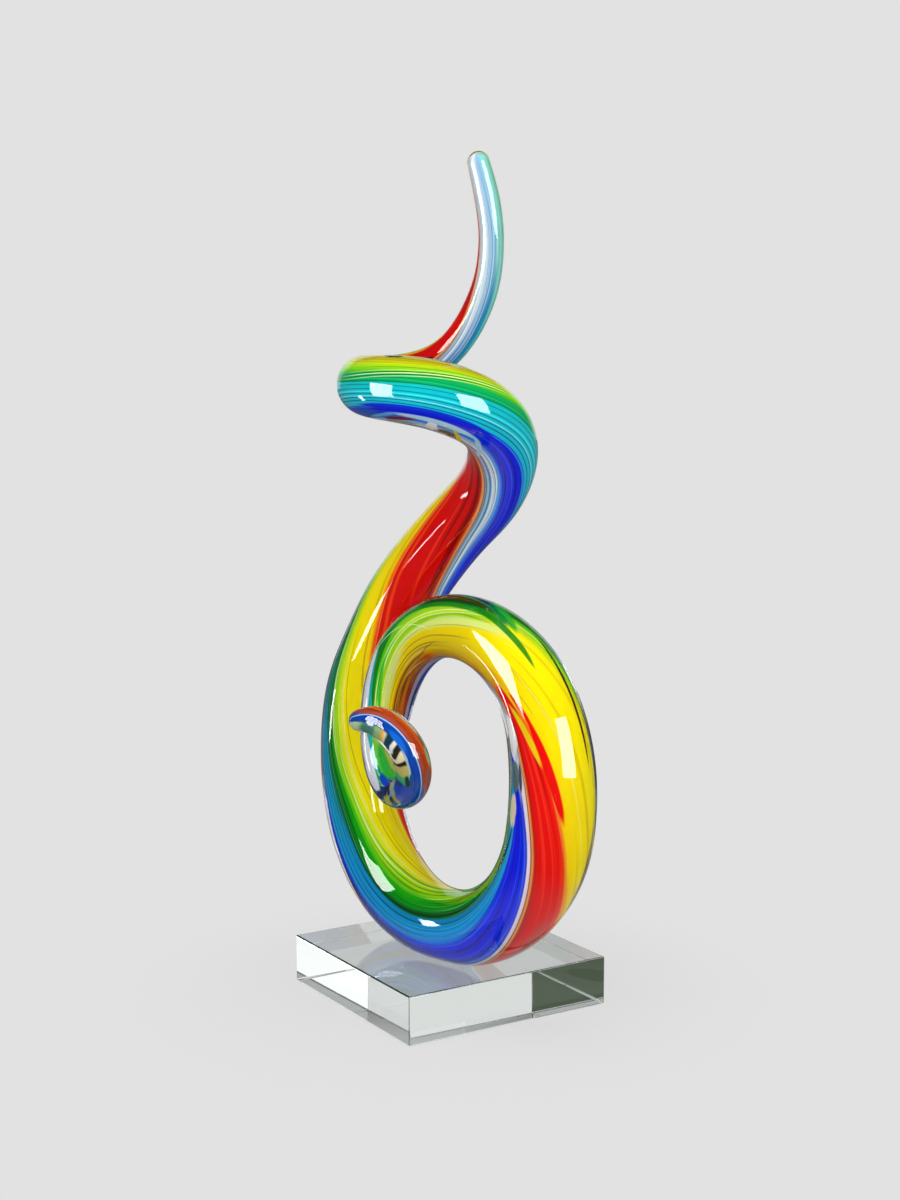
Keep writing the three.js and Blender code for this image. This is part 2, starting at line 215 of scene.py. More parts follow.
def curve_through(points, per_span):
    """Smooth curve through the points (Catmull-Rom, centripetal)."""
    first = beyond(points[1], points[0], NOSE)
    last = beyond(points[-2], points[-1], NOSE)
    knots = [first] + points + [last]
    knots = [mix(knots[0], knots[1], -1)] + knots + [mix(knots[-1], knots[-2], -1)]
    curve = []
    for i in range(1, len(knots) - 2):
        p0, p1, p2, p3 = knots[i - 1:i + 3]
        t1 = math.sqrt(distance(p0, p1))
        t2 = t1 + math.sqrt(distance(p1, p2))
        t3 = t2 + math.sqrt(distance(p2, p3))
        for k in range(per_span):
            t = t1 + (t2 - t1) * k / per_span
            a1 = mix(p0, p1, t / t1)
            a2 = mix(p1, p2, (t - t1) / (t2 - t1))
            a3 = mix(p2, p3, (t - t2) / (t3 - t2))
            b1 = mix(a1, a2, t / t2)
            b2 = mix(a2, a3, (t - t1) / (t3 - t1))
            curve.append(mix(b1, b2, (t - t1) / (t2 - t1)))
    curve.append(last)
    return curve


def even_steps(curve, count):
    """The curve again at equal distances."""
    total = [0]
    for p, q in zip(curve, curve[1:]):
        total.append(total[-1] + distance(p, q))
    result = []
    i = 1
    for k in range(count + 1):
        target = total[-1] * k / count
        while i < len(curve) - 1 and total[i] < target:
            i += 1
        result.append(mix(curve[i - 1], curve[i], (target - total[i - 1]) / (total[i] - total[i - 1])))
    return result


def smoothed(curve, passes):
    """Small bumps evened out, ends kept."""
    for _ in range(passes):
        curve = [curve[0]] + [
            [(a + 2 * b + c) / 4 for a, b, c in zip(p, q, r)]
            for p, q, r in zip(curve, curve[1:], curve[2:])
        ] + [curve[-1]]
    return curve


def reflected(v, n):
    return v - 2 * v.dot(n) * n


class RodPath:
    """The rod's middle line, its radius, and two directions across it that don't spin with it."""

    def __init__(self):
        curve = even_steps(curve_through(row_points(), PLACES_PER_ROW), PATH_STEPS)
        self.rows = smoothed(curve, PATH_PASSES)
        self.points = [Vector(row[:3]) for row in self.rows]
        last = len(self.points) - 1
        self.tangents = [
            (self.points[min(i + 1, last)] - self.points[max(i - 1, 0)]).normalized()
            for i in range(last + 1)
        ]
        first = Vector((1, 0, 0))
        first = (first - first.dot(self.tangents[0]) * self.tangents[0]).normalized()
        self.across = [first]
        for i in range(1, last + 1):
            chord = (self.points[i] - self.points[i - 1]).normalized()
            carried = reflected(self.across[i - 1], chord)
            turned = reflected(self.tangents[i - 1], chord)
            carried = reflected(carried, (self.tangents[i] - turned).normalized())
            carried = (carried - carried.dot(self.tangents[i]) * self.tangents[i]).normalized()
            self.across.append(carried)
        self.total = [0.0]
        for p, q in zip(self.points, self.points[1:]):
            self.total.append(self.total[-1] + (q - p).length)
        self.length = self.total[-1]
        ring = [i for i in range(last + 1) if TOUCHES_WITHIN[0] < i / last < TOUCHES_WITHIN[1]]
        lowest = min(ring, key=lambda i: self.points[i].z - self.rows[i][3])
        under = self.points[lowest].z - self.rows[lowest][3]
        self.lift = BASE_THICK + BOND_THICK - GRIND_DEPTH - under

    def at(self, s):
        """Centre, directions across, rod radius and mark at a distance along the rod."""
        share = min(max(s / self.length, 0), 1)
        i = min(max(int(share * (len(self.points) - 1)), 1), len(self.points) - 1)
        while i < len(self.points) - 1 and self.total[i] < s:
            i += 1
        while i > 1 and self.total[i - 1] > s:
            i -= 1
        t = (s - self.total[i - 1]) / (self.total[i] - self.total[i - 1])
        centre = self.points[i - 1].lerp(self.points[i], t) + Vector((0, 0, self.lift))
        tangent = self.tangents[i - 1].lerp(self.tangents[i], t).normalized()
        u = self.across[i - 1].lerp(self.across[i], t)
        u = (u - u.dot(tangent) * tangent).normalized()
        rod = self.rows[i - 1][3] + (self.rows[i][3] - self.rows[i - 1][3]) * t
        return centre, u, tangent.cross(u), rod, s / self.length

    def marks(self, start, end, start_tip, end_tip):
        """Distances along the rod from start to end, close together on the two rounded tips,
        each with how far the tip has closed in (1 on the rod, 0 at the tip's pole)."""
        result = []
        for k in range(TIP_ROWS):
            turn = math.pi / 2 * k / TIP_ROWS
            result.append((start + start_tip * (1 - math.cos(turn)), math.sin(turn)))
        count = math.ceil((end - end_tip - start - start_tip) / STEP)
        for k in range(count + 1):
            result.append((start + start_tip + (end - end_tip - start - start_tip) * k / count, 1))
        for k in reversed(range(TIP_ROWS)):
            turn = math.pi / 2 * k / TIP_ROWS
            result.append((end - end_tip * (1 - math.cos(turn)), math.sin(turn)))
        return result


path = RodPath()

# ---------------------------------------------------------------- node helpers


def new_node(tree, kind, label=None, **settings):
    node = tree.nodes.new(kind)
    if label:
        node.label = label
    for key, value in settings.items():
        setattr(node, key, value)
    return node


def put(tree, value, socket):
    """Links an output to a socket, or sets the socket to a plain value."""
    if isinstance(value, bpy.types.NodeSocket):
        tree.links.new(value, socket)
    else:
        socket.default_value = value


def sums(tree, operation, *values, label=None):
    """A Math node and its result."""
    node = new_node(tree, "ShaderNodeMath", label, operation=operation)
    for i, value in enumerate(values):
        put(tree, value, node.inputs[i])
    return node.outputs[0]


def vector_sums(tree, operation, *values, scale=None):
    """A Vector Math node and its vector."""
    node = new_node(tree, "ShaderNodeVectorMath", operation=operation)
    for i, value in enumerate(values):
        put(tree, value, node.inputs[i])
    if scale is not None:
        put(tree, scale, node.inputs["Scale"])
    return node.outputs[0]


def vector_of(tree, *parts, label=None):
    node = new_node(tree, "ShaderNodeCombineXYZ", label)
    for i, part in enumerate(parts):
        put(tree, part, node.inputs[i])
    return node.outputs[0]


def parts_of(tree, vector):
    node = new_node(tree, "ShaderNodeSeparateXYZ")
    put(tree, vector, node.inputs[0])
    return node.outputs


def remap(tree, value, low=0.0, high=1.0, to_low=0.0, to_high=1.0, label=None, kind="SMOOTHSTEP"):
    """The value's place in one range as a place in another, held at both ends."""
    node = new_node(tree, "ShaderNodeMapRange", label, interpolation_type=kind)
    ends = {"Value": value, "From Min": low, "From Max": high, "To Min": to_low, "To Max": to_high}
    for key, end in ends.items():
        put(tree, end, node.inputs[key])
    return node.outputs[0]


def emptied_tree(owner):
    """The node tree of a material or world, without its first nodes."""
    owner.use_nodes = True
    owner.node_tree.nodes.clear()
    return owner.node_tree


def placed(name, data):
    """A new object in the scene."""
    thing = bpy.data.objects.new(name, data)
    bpy.context.scene.collection.objects.link(thing)
    return thing


# ---------------------------------------------------------------- the swept glass


def swept_glass_tree():
    """Sweeps a round or wedge-shaped section along a path of stations.
    Each station carries: u, v (directions across), reach, start, span, along."""
    tree = bpy.data.node_groups.new("SweptGlass", "GeometryNodeTree")
    for name, kind in (("Stations", "Geometry"), ("Columns", "Int"), ("Wedge", "Float"), ("Wedge middle", "Float"),
                       ("Least height", "Float"), ("Number", "Float"), ("Glass", "Material")):
        tree.interface.new_socket(name, in_out="INPUT", socket_type="NodeSocket" + kind)
    tree.interface.new_socket("Skin", in_out="OUTPUT", socket_type="NodeSocketGeometry")
    given = new_node(tree, "NodeGroupInput").outputs
    stations = given["Stations"]

    size = new_node(tree, "GeometryNodeAttributeDomainSize", component="MESH")
    put(tree, stations, size.inputs[0])
    per_row = sums(tree, "ADD", given["Columns"], 1.0, label="Points in one section")
    grid = new_node(tree, "GeometryNodeMeshGrid")
    put(tree, size.outputs["Point Count"], grid.inputs["Vertices X"])
    put(tree, per_row, grid.inputs["Vertices Y"])

    index = new_node(tree, "GeometryNodeInputIndex").outputs[0]
    shifted = sums(tree, "ADD", index, 0.5)
    row = sums(tree, "FLOOR", sums(tree, "DIVIDE", shifted, per_row), label="Station")
    column = sums(tree, "SUBTRACT", index, sums(tree, "MULTIPLY", row, per_row), label="Column")

    def attribute(name, kind):
        read = new_node(tree, "GeometryNodeInputNamedAttribute", data_type=kind)
        read.inputs["Name"].default_value = name
        return read.outputs["Attribute"]

    def at_station(name, kind, value):
        pick = new_node(tree, "GeometryNodeSampleIndex", name, data_type=kind, domain="POINT")
        put(tree, stations, pick.inputs["Geometry"])
        put(tree, value, pick.inputs["Value"])
        put(tree, row, pick.inputs["Index"])
        return pick.outputs[0]

    def station_value(name, kind):
        return at_station(name, kind, attribute(name, kind))

    def stored(mesh, name, kind, domain, value):
        keep = new_node(tree, "GeometryNodeStoreNamedAttribute", name, data_type=kind, domain=domain)
        put(tree, mesh, keep.inputs["Geometry"])
        keep.inputs["Name"].default_value = name
        put(tree, value, keep.inputs["Value"])
        return keep.outputs[0]

    wedge = given["Wedge"]
    arcs = sums(tree, "SUBTRACT", given["Columns"], sums(tree, "MULTIPLY", wedge, 2.0))
    share = sums(tree, "DIVIDE", sums(tree, "SUBTRACT", column, wedge), arcs)
    share = sums(tree, "MINIMUM", sums(tree, "MAXIMUM", share, 0.0), 1.0, label="Share of the span")
    from_ends = sums(tree, "MINIMUM", column, sums(tree, "SUBTRACT", given["Columns"], column))
    at_middle = sums(tree, "MULTIPLY", sums(tree, "LESS_THAN", from_ends, 0.5), wedge, label="Wedge middle?")
    outwards = sums(tree, "SUBTRACT", 1.0, at_middle)

    reach = station_value("reach", "FLOAT")
    middle_reach = sums(tree, "MINIMUM", given["Wedge middle"],
                        sums(tree, "MULTIPLY", reach, CORE_MIDDLE_SHARE))
    reach = sums(tree, "ADD", sums(tree, "MULTIPLY", reach, outwards),
                 sums(tree, "MULTIPLY", middle_reach, at_middle), label="Reach")
    turn_share = sums(tree, "ADD", sums(tree, "MULTIPLY", share, outwards),
                      sums(tree, "MULTIPLY", at_middle, 0.5))
    angle = sums(tree, "MULTIPLY_ADD", station_value("span", "FLOAT"), turn_share,
                 station_value("start", "FLOAT"), label="Angle")

    by_u = vector_sums(tree, "SCALE", station_value("u", "FLOAT_VECTOR"),
                       scale=sums(tree, "MULTIPLY", sums(tree, "COSINE", angle), reach))
    by_v = vector_sums(tree, "SCALE", station_value("v", "FLOAT_VECTOR"),
                       scale=sums(tree, "MULTIPLY", sums(tree, "SINE", angle), reach))
    centre = at_station("centre", "FLOAT_VECTOR", new_node(tree, "GeometryNodeInputPosition").outputs[0])
    x, y, z = parts_of(tree, vector_sums(tree, "ADD", centre, vector_sums(tree, "ADD", by_u, by_v)))
    ground = vector_of(tree, x, y, sums(tree, "MAXIMUM", z, given["Least height"]), label="Ground flat")

    mesh = grid.outputs["Mesh"]
    for name, value in (("rod_along", station_value("along", "FLOAT")),
                        ("rod_across", sums(tree, "ADD", given["Number"], share)),
                        ("rod_turn", sums(tree, "DIVIDE", angle, 2 * math.pi))):
        mesh = stored(mesh, name, "FLOAT", "POINT", value)
    move = new_node(tree, "GeometryNodeSetPosition")
    put(tree, mesh, move.inputs["Geometry"])
    put(tree, ground, move.inputs["Position"])
    mesh = move.outputs[0]

    for layer, names in (("UVMap", ("rod_along", "rod_across")), ("TurnMap", ("rod_along", "rod_turn"))):
        chart = vector_of(tree, *[attribute(name, "FLOAT") for name in names], label=layer)
        mesh = stored(mesh, layer, "FLOAT2", "CORNER", chart)
    for name in ("rod_along", "rod_across", "rod_turn"):
        drop = new_node(tree, "GeometryNodeRemoveAttribute")
        put(tree, mesh, drop.inputs["Geometry"])
        drop.inputs["Name"].default_value = name
        mesh = drop.outputs[0]

    weld = new_node(tree, "GeometryNodeMergeByDistance", "Close seam and tips")
    put(tree, mesh, weld.inputs["Geometry"])
    weld.inputs["Distance"].default_value = WELD * MM
    outwards_facing = new_node(tree, "GeometryNodeFlipFaces", "Face outwards")
    put(tree, weld.outputs[0], outwards_facing.inputs["Mesh"])
    smooth = new_node(tree, "GeometryNodeSetShadeSmooth", domain="FACE")
    put(tree, outwards_facing.outputs[0], smooth.inputs["Geometry"])
    corner = new_node(tree, "GeometryNodeInputMeshEdgeAngle")
    sharp = sums(tree, "GREATER_THAN", corner.outputs["Unsigned Angle"], math.radians(CREASE))
    crisp = new_node(tree, "GeometryNodeSetShadeSmooth", "Crisp wedge edges", domain="EDGE")
    put(tree, smooth.outputs[0], crisp.inputs["Geometry"])
    put(tree, sharp, crisp.inputs["Selection"])
    crisp.inputs["Shade Smooth"].default_value = False
    real = new_node(tree, "GeometryNodeRealizeInstances")
    put(tree, crisp.outputs[0], real.inputs[0])
    paint = new_node(tree, "GeometryNodeSetMaterial")
    put(tree, real.outputs[0], paint.inputs["Geometry"])
    put(tree, given["Glass"], paint.inputs["Material"])
    result = new_node(tree, "NodeGroupOutput")
    put(tree, paint.outputs[0], result.inputs[0])
    return tree


def swept_piece(name, tree, stations, settings):
    """A finished mesh object from stations (dicts) and the tree's own settings."""
    mesh = bpy.data.meshes.new(name + "_path")
    mesh.from_pydata([s["centre"] * MM for s in stations],
                     [(i, i + 1) for i in range(len(stations) - 1)], [])
    for key in ("u", "v"):
        layer = mesh.attributes.new(key, "FLOAT_VECTOR", "POINT")
        layer.data.foreach_set("vector", [x for s in stations for x in s[key]])
    for key, scale in (("reach", MM), ("start", 1), ("span", 1), ("along", MM)):
        layer = mesh.attributes.new(key, "FLOAT", "POINT")
        layer.data.foreach_set("value", [s[key] * scale for s in stations])
    guide = placed(name + "_path", mesh)
    modifier = guide.modifiers.new("Sweep", "NODES")
    modifier.node_group = tree
    sockets = {item.name: item.identifier for item in tree.interface.items_tree if item.in_out == "INPUT"}
    for key, value in settings.items():
        modifier[sockets[key]] = value
    evaluated = guide.evaluated_get(bpy.context.evaluated_depsgraph_get())
    skin = bpy.data.meshes.new_from_object(evaluated)
    skin.name = name
    guide.modifiers.remove(modifier)
    bpy.data.objects.remove(guide)
    bpy.data.meshes.remove(mesh)
    return placed(name, skin)


def casing_stations():
    """The clear glass: whole round sections of the rod."""
    stations = []
    first_tip = path.at(0)[3]
    last_tip = path.at(path.length)[3]
    for s, closing in path.marks(0, path.length, first_tip, last_tip):
        centre, u, v, rod, _ = path.at(s)
        stations.append({"centre": centre, "u": u, "v": v, "reach": rod * closing,
                         "start": 0, "span": 2 * math.pi, "along": s})
    return stations


def cane_stations(number):
    """One cane: its wedge of the core at each place along the rod."""
    stations = []
    start = CORE_FROM_HOOK_END
    end = path.length - CORE_FROM_TAIL_END
    tip = [path.at(s)[3] * read_table(CORE_SHARE, s / path.length)[0] for s in (start, end)]
    for s, closing in path.marks(start, end, *tip):
        centre, u, v, rod, mark = path.at(s)
        reach = rod * read_table(CORE_SHARE, mark)[0] * closing
        twist, *widths = eased_table(TWIST, mark)
        least = math.degrees(LEAST_CANE / (rod * MEASURED_AT))
        spare = (360 - len(CANES) * least) / sum(widths)
        spans = [least + width * spare for width in widths]
        begin = twist + sum(spans[:number])
        trim = math.degrees(SEAM / 2 / (rod * MEASURED_AT))
        stations.append({"centre": centre, "u": u, "v": v, "reach": reach,
                         "start": math.radians(begin + trim),
                         "span": math.radians(spans[number] - 2 * trim), "along": s})
    return stations


# ---------------------------------------------------------------- finishes

# Threads of glass along a cane: length of their waves in mm, and how far they sway across it
THREAD_WAVE = 45
THREAD_SWAY = 0.09

# How far the outline of a patch strays: in mm, and at most as a share of its size
FLAME_STRAY = 3.5
FLAME_UNEVEN = 1.1
FLAME_NOISE = 1.3

# Lengths in m over which a streak or a thread fades out at the ends of its stretch
STREAK_FADE = 0.012
THREAD_FADE = 0.02

# Slow wandering of the colours across a cane: lines across, length in m, mask from, mask to; reach
WANDER = (2.2, 0.06, 0.2, 0.8)
WANDER_REACH = 0.2

# Seeds that keep canes and layers of streaks from looking alike: where the wandering's begin,
# and the steps from layer to layer, from cane to cane, and from cane to cane for the threads
WANDER_SEED = 3.1
STREAK_SEED = 5.3
CANE_SEED = 7.7
THREAD_SEED = 1.9

CANE_ROUGHNESS = 0.4

# Hand polish: scale of its fine unevenness, and the part of that noise that turns into roughness
POLISH_SCALE = 160
POLISH_NOISE = (0.35, 0.75)


def from_hex(code):
    """Linear colour of a usual web colour code."""
    parts = [int(code[i:i + 2], 16) / 255 for i in (0, 2, 4)]
    return tuple(c / 12.92 if c <= 0.04045 else ((c + 0.055) / 1.055) ** 2.4 for c in parts) + (1,)


def new_group(name, inputs, outputs=("Mask",)):
    """A shader group of plain numbers: its tree and what it is given."""
    tree = bpy.data.node_groups.new(name, "ShaderNodeTree")
    for way, sockets in (("INPUT", inputs), ("OUTPUT", outputs)):
        for socket in sockets:
            tree.interface.new_socket(socket, in_out=way, socket_type="NodeSocketFloat")
    return tree, new_node(tree, "NodeGroupInput").outputs


def group_result(tree, *values):
    """Hands the values out of a group."""
    result = new_node(tree, "NodeGroupOutput")
    for i, value in enumerate(values):
        put(tree, value, result.inputs[i])
    return tree


def in_group(tree, group, settings):
    """What a group gives out for these inputs, linked or plain."""
    node = new_node(tree, "ShaderNodeGroup", node_tree=group)
    for key, value in settings.items():
        put(tree, value, node.inputs[key])
    return node.outputs


def noise(tree, place, scale=1.0, detail=2.0, roughness=0.5, label=None):
    node = new_node(tree, "ShaderNodeTexNoise", label)
    for key, value in (("Vector", place), ("Scale", scale), ("Detail", detail), ("Roughness", roughness)):
        put(tree, value, node.inputs[key])
    return node.outputs


def within(tree, along, start, end, fade):
    """1 between start and end, fading to 0 outside them."""
    parts = []
    for edge, sign in ((start, 1.0), (end, -1.0)):
        past = sums(tree, "MULTIPLY", sums(tree, "SUBTRACT", along, edge), sign / fade)
        parts.append(remap(tree, past, -0.5, 0.5))
    return sums(tree, "MULTIPLY", *parts)


def make_streaks_and_glints_group():
    """Streaks that the drawing of the rod pulls out along it, and on the hook short streaks of painted glints and dark
    reflections: 0 between them, 1 in them.
    They keep to a stretch of the rod, from Start to End in metres."""
    tree, given = new_group("StreaksAndPaintedGlints", ("Along", "Across", "Lines", "Streak length", "Seed",
                                             "From", "To", "Start", "End"))
    place = vector_of(tree, sums(tree, "DIVIDE", given["Along"], given["Streak length"]),
                      sums(tree, "MULTIPLY", given["Across"], given["Lines"]), given["Seed"])
    streak = remap(tree, noise(tree, place, detail=1.5, roughness=0.6)[0], given["From"], given["To"])
    stretch = within(tree, given["Along"], given["Start"], given["End"], STREAK_FADE)
    return group_result(tree, sums(tree, "MULTIPLY", streak, stretch))


def drawn_thread_group():
    """One thread of other glass that runs along a cane: its place across the cane (0 to 1) at both
    ends of its stretch, its half width, and the stretch of the rod from Start to End in metres."""
    tree, given = new_group("DrawnThread", ("Along", "Across", "First place", "Last place", "Half width",
                                            "Softness", "Start", "End", "Seed"))
    way = remap(tree, given["Along"], given["Start"], given["End"], given["First place"], given["Last place"],
                label="Place along the stretch", kind="LINEAR")
    spot = vector_of(tree, sums(tree, "DIVIDE", given["Along"], THREAD_WAVE * MM), given["Seed"])
    sway = sums(tree, "MULTIPLY", sums(tree, "SUBTRACT", noise(tree, spot)[0], 0.5), THREAD_SWAY)
    off = sums(tree, "SUBTRACT", given["Across"], sums(tree, "ADD", way, sway))
    share = sums(tree, "DIVIDE", sums(tree, "ABSOLUTE", off), given["Half width"])
    thread = remap(tree, sums(tree, "SUBTRACT", 1.0, share), high=given["Softness"])
    stretch = within(tree, given["Along"], given["Start"], given["End"], THREAD_FADE)
    return group_result(tree, sums(tree, "MULTIPLY", thread, stretch))


def make_flame_and_light_group():
    """One long flame-shaped patch of another colour round the core, for flames of other glass and for painted light:
    its middle and half length along the rod in metres, its middle and half width round it in turns, and its lean."""
    tree, given = new_group("FlameAndPaintedLight", ("Along", "Turn", "Middle", "Half length", "Middle turn", "Half width",
                                           "Lean", "Softness", "Uneven"))
    far = sums(tree, "SUBTRACT", given["Along"], given["Middle"])
    middle = sums(tree, "MULTIPLY_ADD", far, given["Lean"], given["Middle turn"])
    off = sums(tree, "ADD", sums(tree, "SUBTRACT", given["Turn"], middle), 0.5)
    off = sums(tree, "SUBTRACT", sums(tree, "FRACT", off), 0.5, label="Turned less than half round")
    shares = [sums(tree, "DIVIDE", far, given["Half length"]), sums(tree, "DIVIDE", off, given["Half width"])]
    spot = vector_of(tree, *shares, sums(tree, "MULTIPLY", given["Middle"], 1 / MM))
    uneven = parts_of(tree, noise(tree, spot, FLAME_NOISE, label="Uneven outline")["Color"])
    squares = []
    for share, wave in zip(shares, uneven):
        bent = sums(tree, "MULTIPLY_ADD", sums(tree, "SUBTRACT", wave, 0.5), given["Uneven"], share)
        squares.append(sums(tree, "MULTIPLY", bent, bent))
    reach = sums(tree, "SQRT", sums(tree, "ADD", *squares))
    return group_result(tree, remap(tree, sums(tree, "SUBTRACT", 1.0, reach), high=given["Softness"]))


def hand_polish_group():
    """Slow waves and fine unevenness of hand-polished glass: a height and a roughness."""
    tree, given = new_group("HandPolish", ("Waves", "Fine", "Least roughness", "Most roughness"),
                            ("Height", "Roughness"))
    place = new_node(tree, "ShaderNodeTexCoord").outputs["Object"]
    waves = noise(tree, place, given["Waves"], detail=1.0)[0]
    fine = noise(tree, place, given["Fine"], detail=3.0)[0]
    rough = remap(tree, fine, *POLISH_NOISE, given["Least roughness"], given["Most roughness"], kind="LINEAR")
    return group_result(tree, waves, rough)


streaks_group = make_streaks_and_glints_group()
thread_group = drawn_thread_group()
flame_and_light_group = make_flame_and_light_group()
polish_group = hand_polish_group()


def new_material(name):
    material = bpy.data.materials.new(name)
    tree = emptied_tree(material)
    shader = new_node(tree, "ShaderNodeBsdfPrincipled")
    output = new_node(tree, "ShaderNodeOutputMaterial")
    put(tree, shader.outputs[0], output.inputs["Surface"])
    return material, tree, shader


def clear_glass(name, tint, ior, waves, wave_height, most_roughness):
    """Clear polished glass."""
    material, tree, shader = new_material(name)
    polish = in_group(tree, polish_group, {"Waves": waves, "Fine": POLISH_SCALE, "Least roughness": 0,
                                           "Most roughness": most_roughness})
    bump = new_node(tree, "ShaderNodeBump")
    for key, value in (("Distance", wave_height), ("Strength", 1), ("Height", polish["Height"])):
        put(tree, value, bump.inputs[key])
    for key, value in (("Normal", bump.outputs[0]), ("Roughness", polish["Roughness"]), ("Base Color", tint),
                       ("Metallic", 0), ("Transmission Weight", 1), ("IOR", ior)):
        put(tree, value, shader.inputs[key])
    return material


def streaks(tree, along, across, lines, length, low, high, seed, start=-1.0, end=9.0):
    return in_group(tree, streaks_group, {
        "Along": along, "Across": across, "Lines": lines, "Streak length": length, "Seed": seed,
        "From": low, "To": high, "Start": start, "End": end})[0]


def blend_colour(tree, factor, below, above):
    node = new_node(tree, "ShaderNodeMix", data_type="RGBA")
    put(tree, factor, node.inputs[0])
    put(tree, below, node.inputs[6])
    put(tree, above, node.inputs[7])
    return node.outputs[2]


def painted(tree, mask, strength, colour, code):
    """A colour with another one over it where the mask is."""
    return blend_colour(tree, sums(tree, "MULTIPLY", mask, strength), colour, from_hex(code))


def colour_ramp(tree, place, stops, label):
    """The colour at a place between stops of (place, colour)."""
    node = new_node(tree, "ShaderNodeValToRGB", label)
    put(tree, place, node.inputs[0])
    elements = node.color_ramp.elements
    elements.remove(elements[-1])
    elements[0].position, elements[0].color = stops[0][0], from_hex(stops[0][1])
    for position, code in stops[1:]:
        elements.new(position).color = from_hex(code)
    return node.outputs[0]
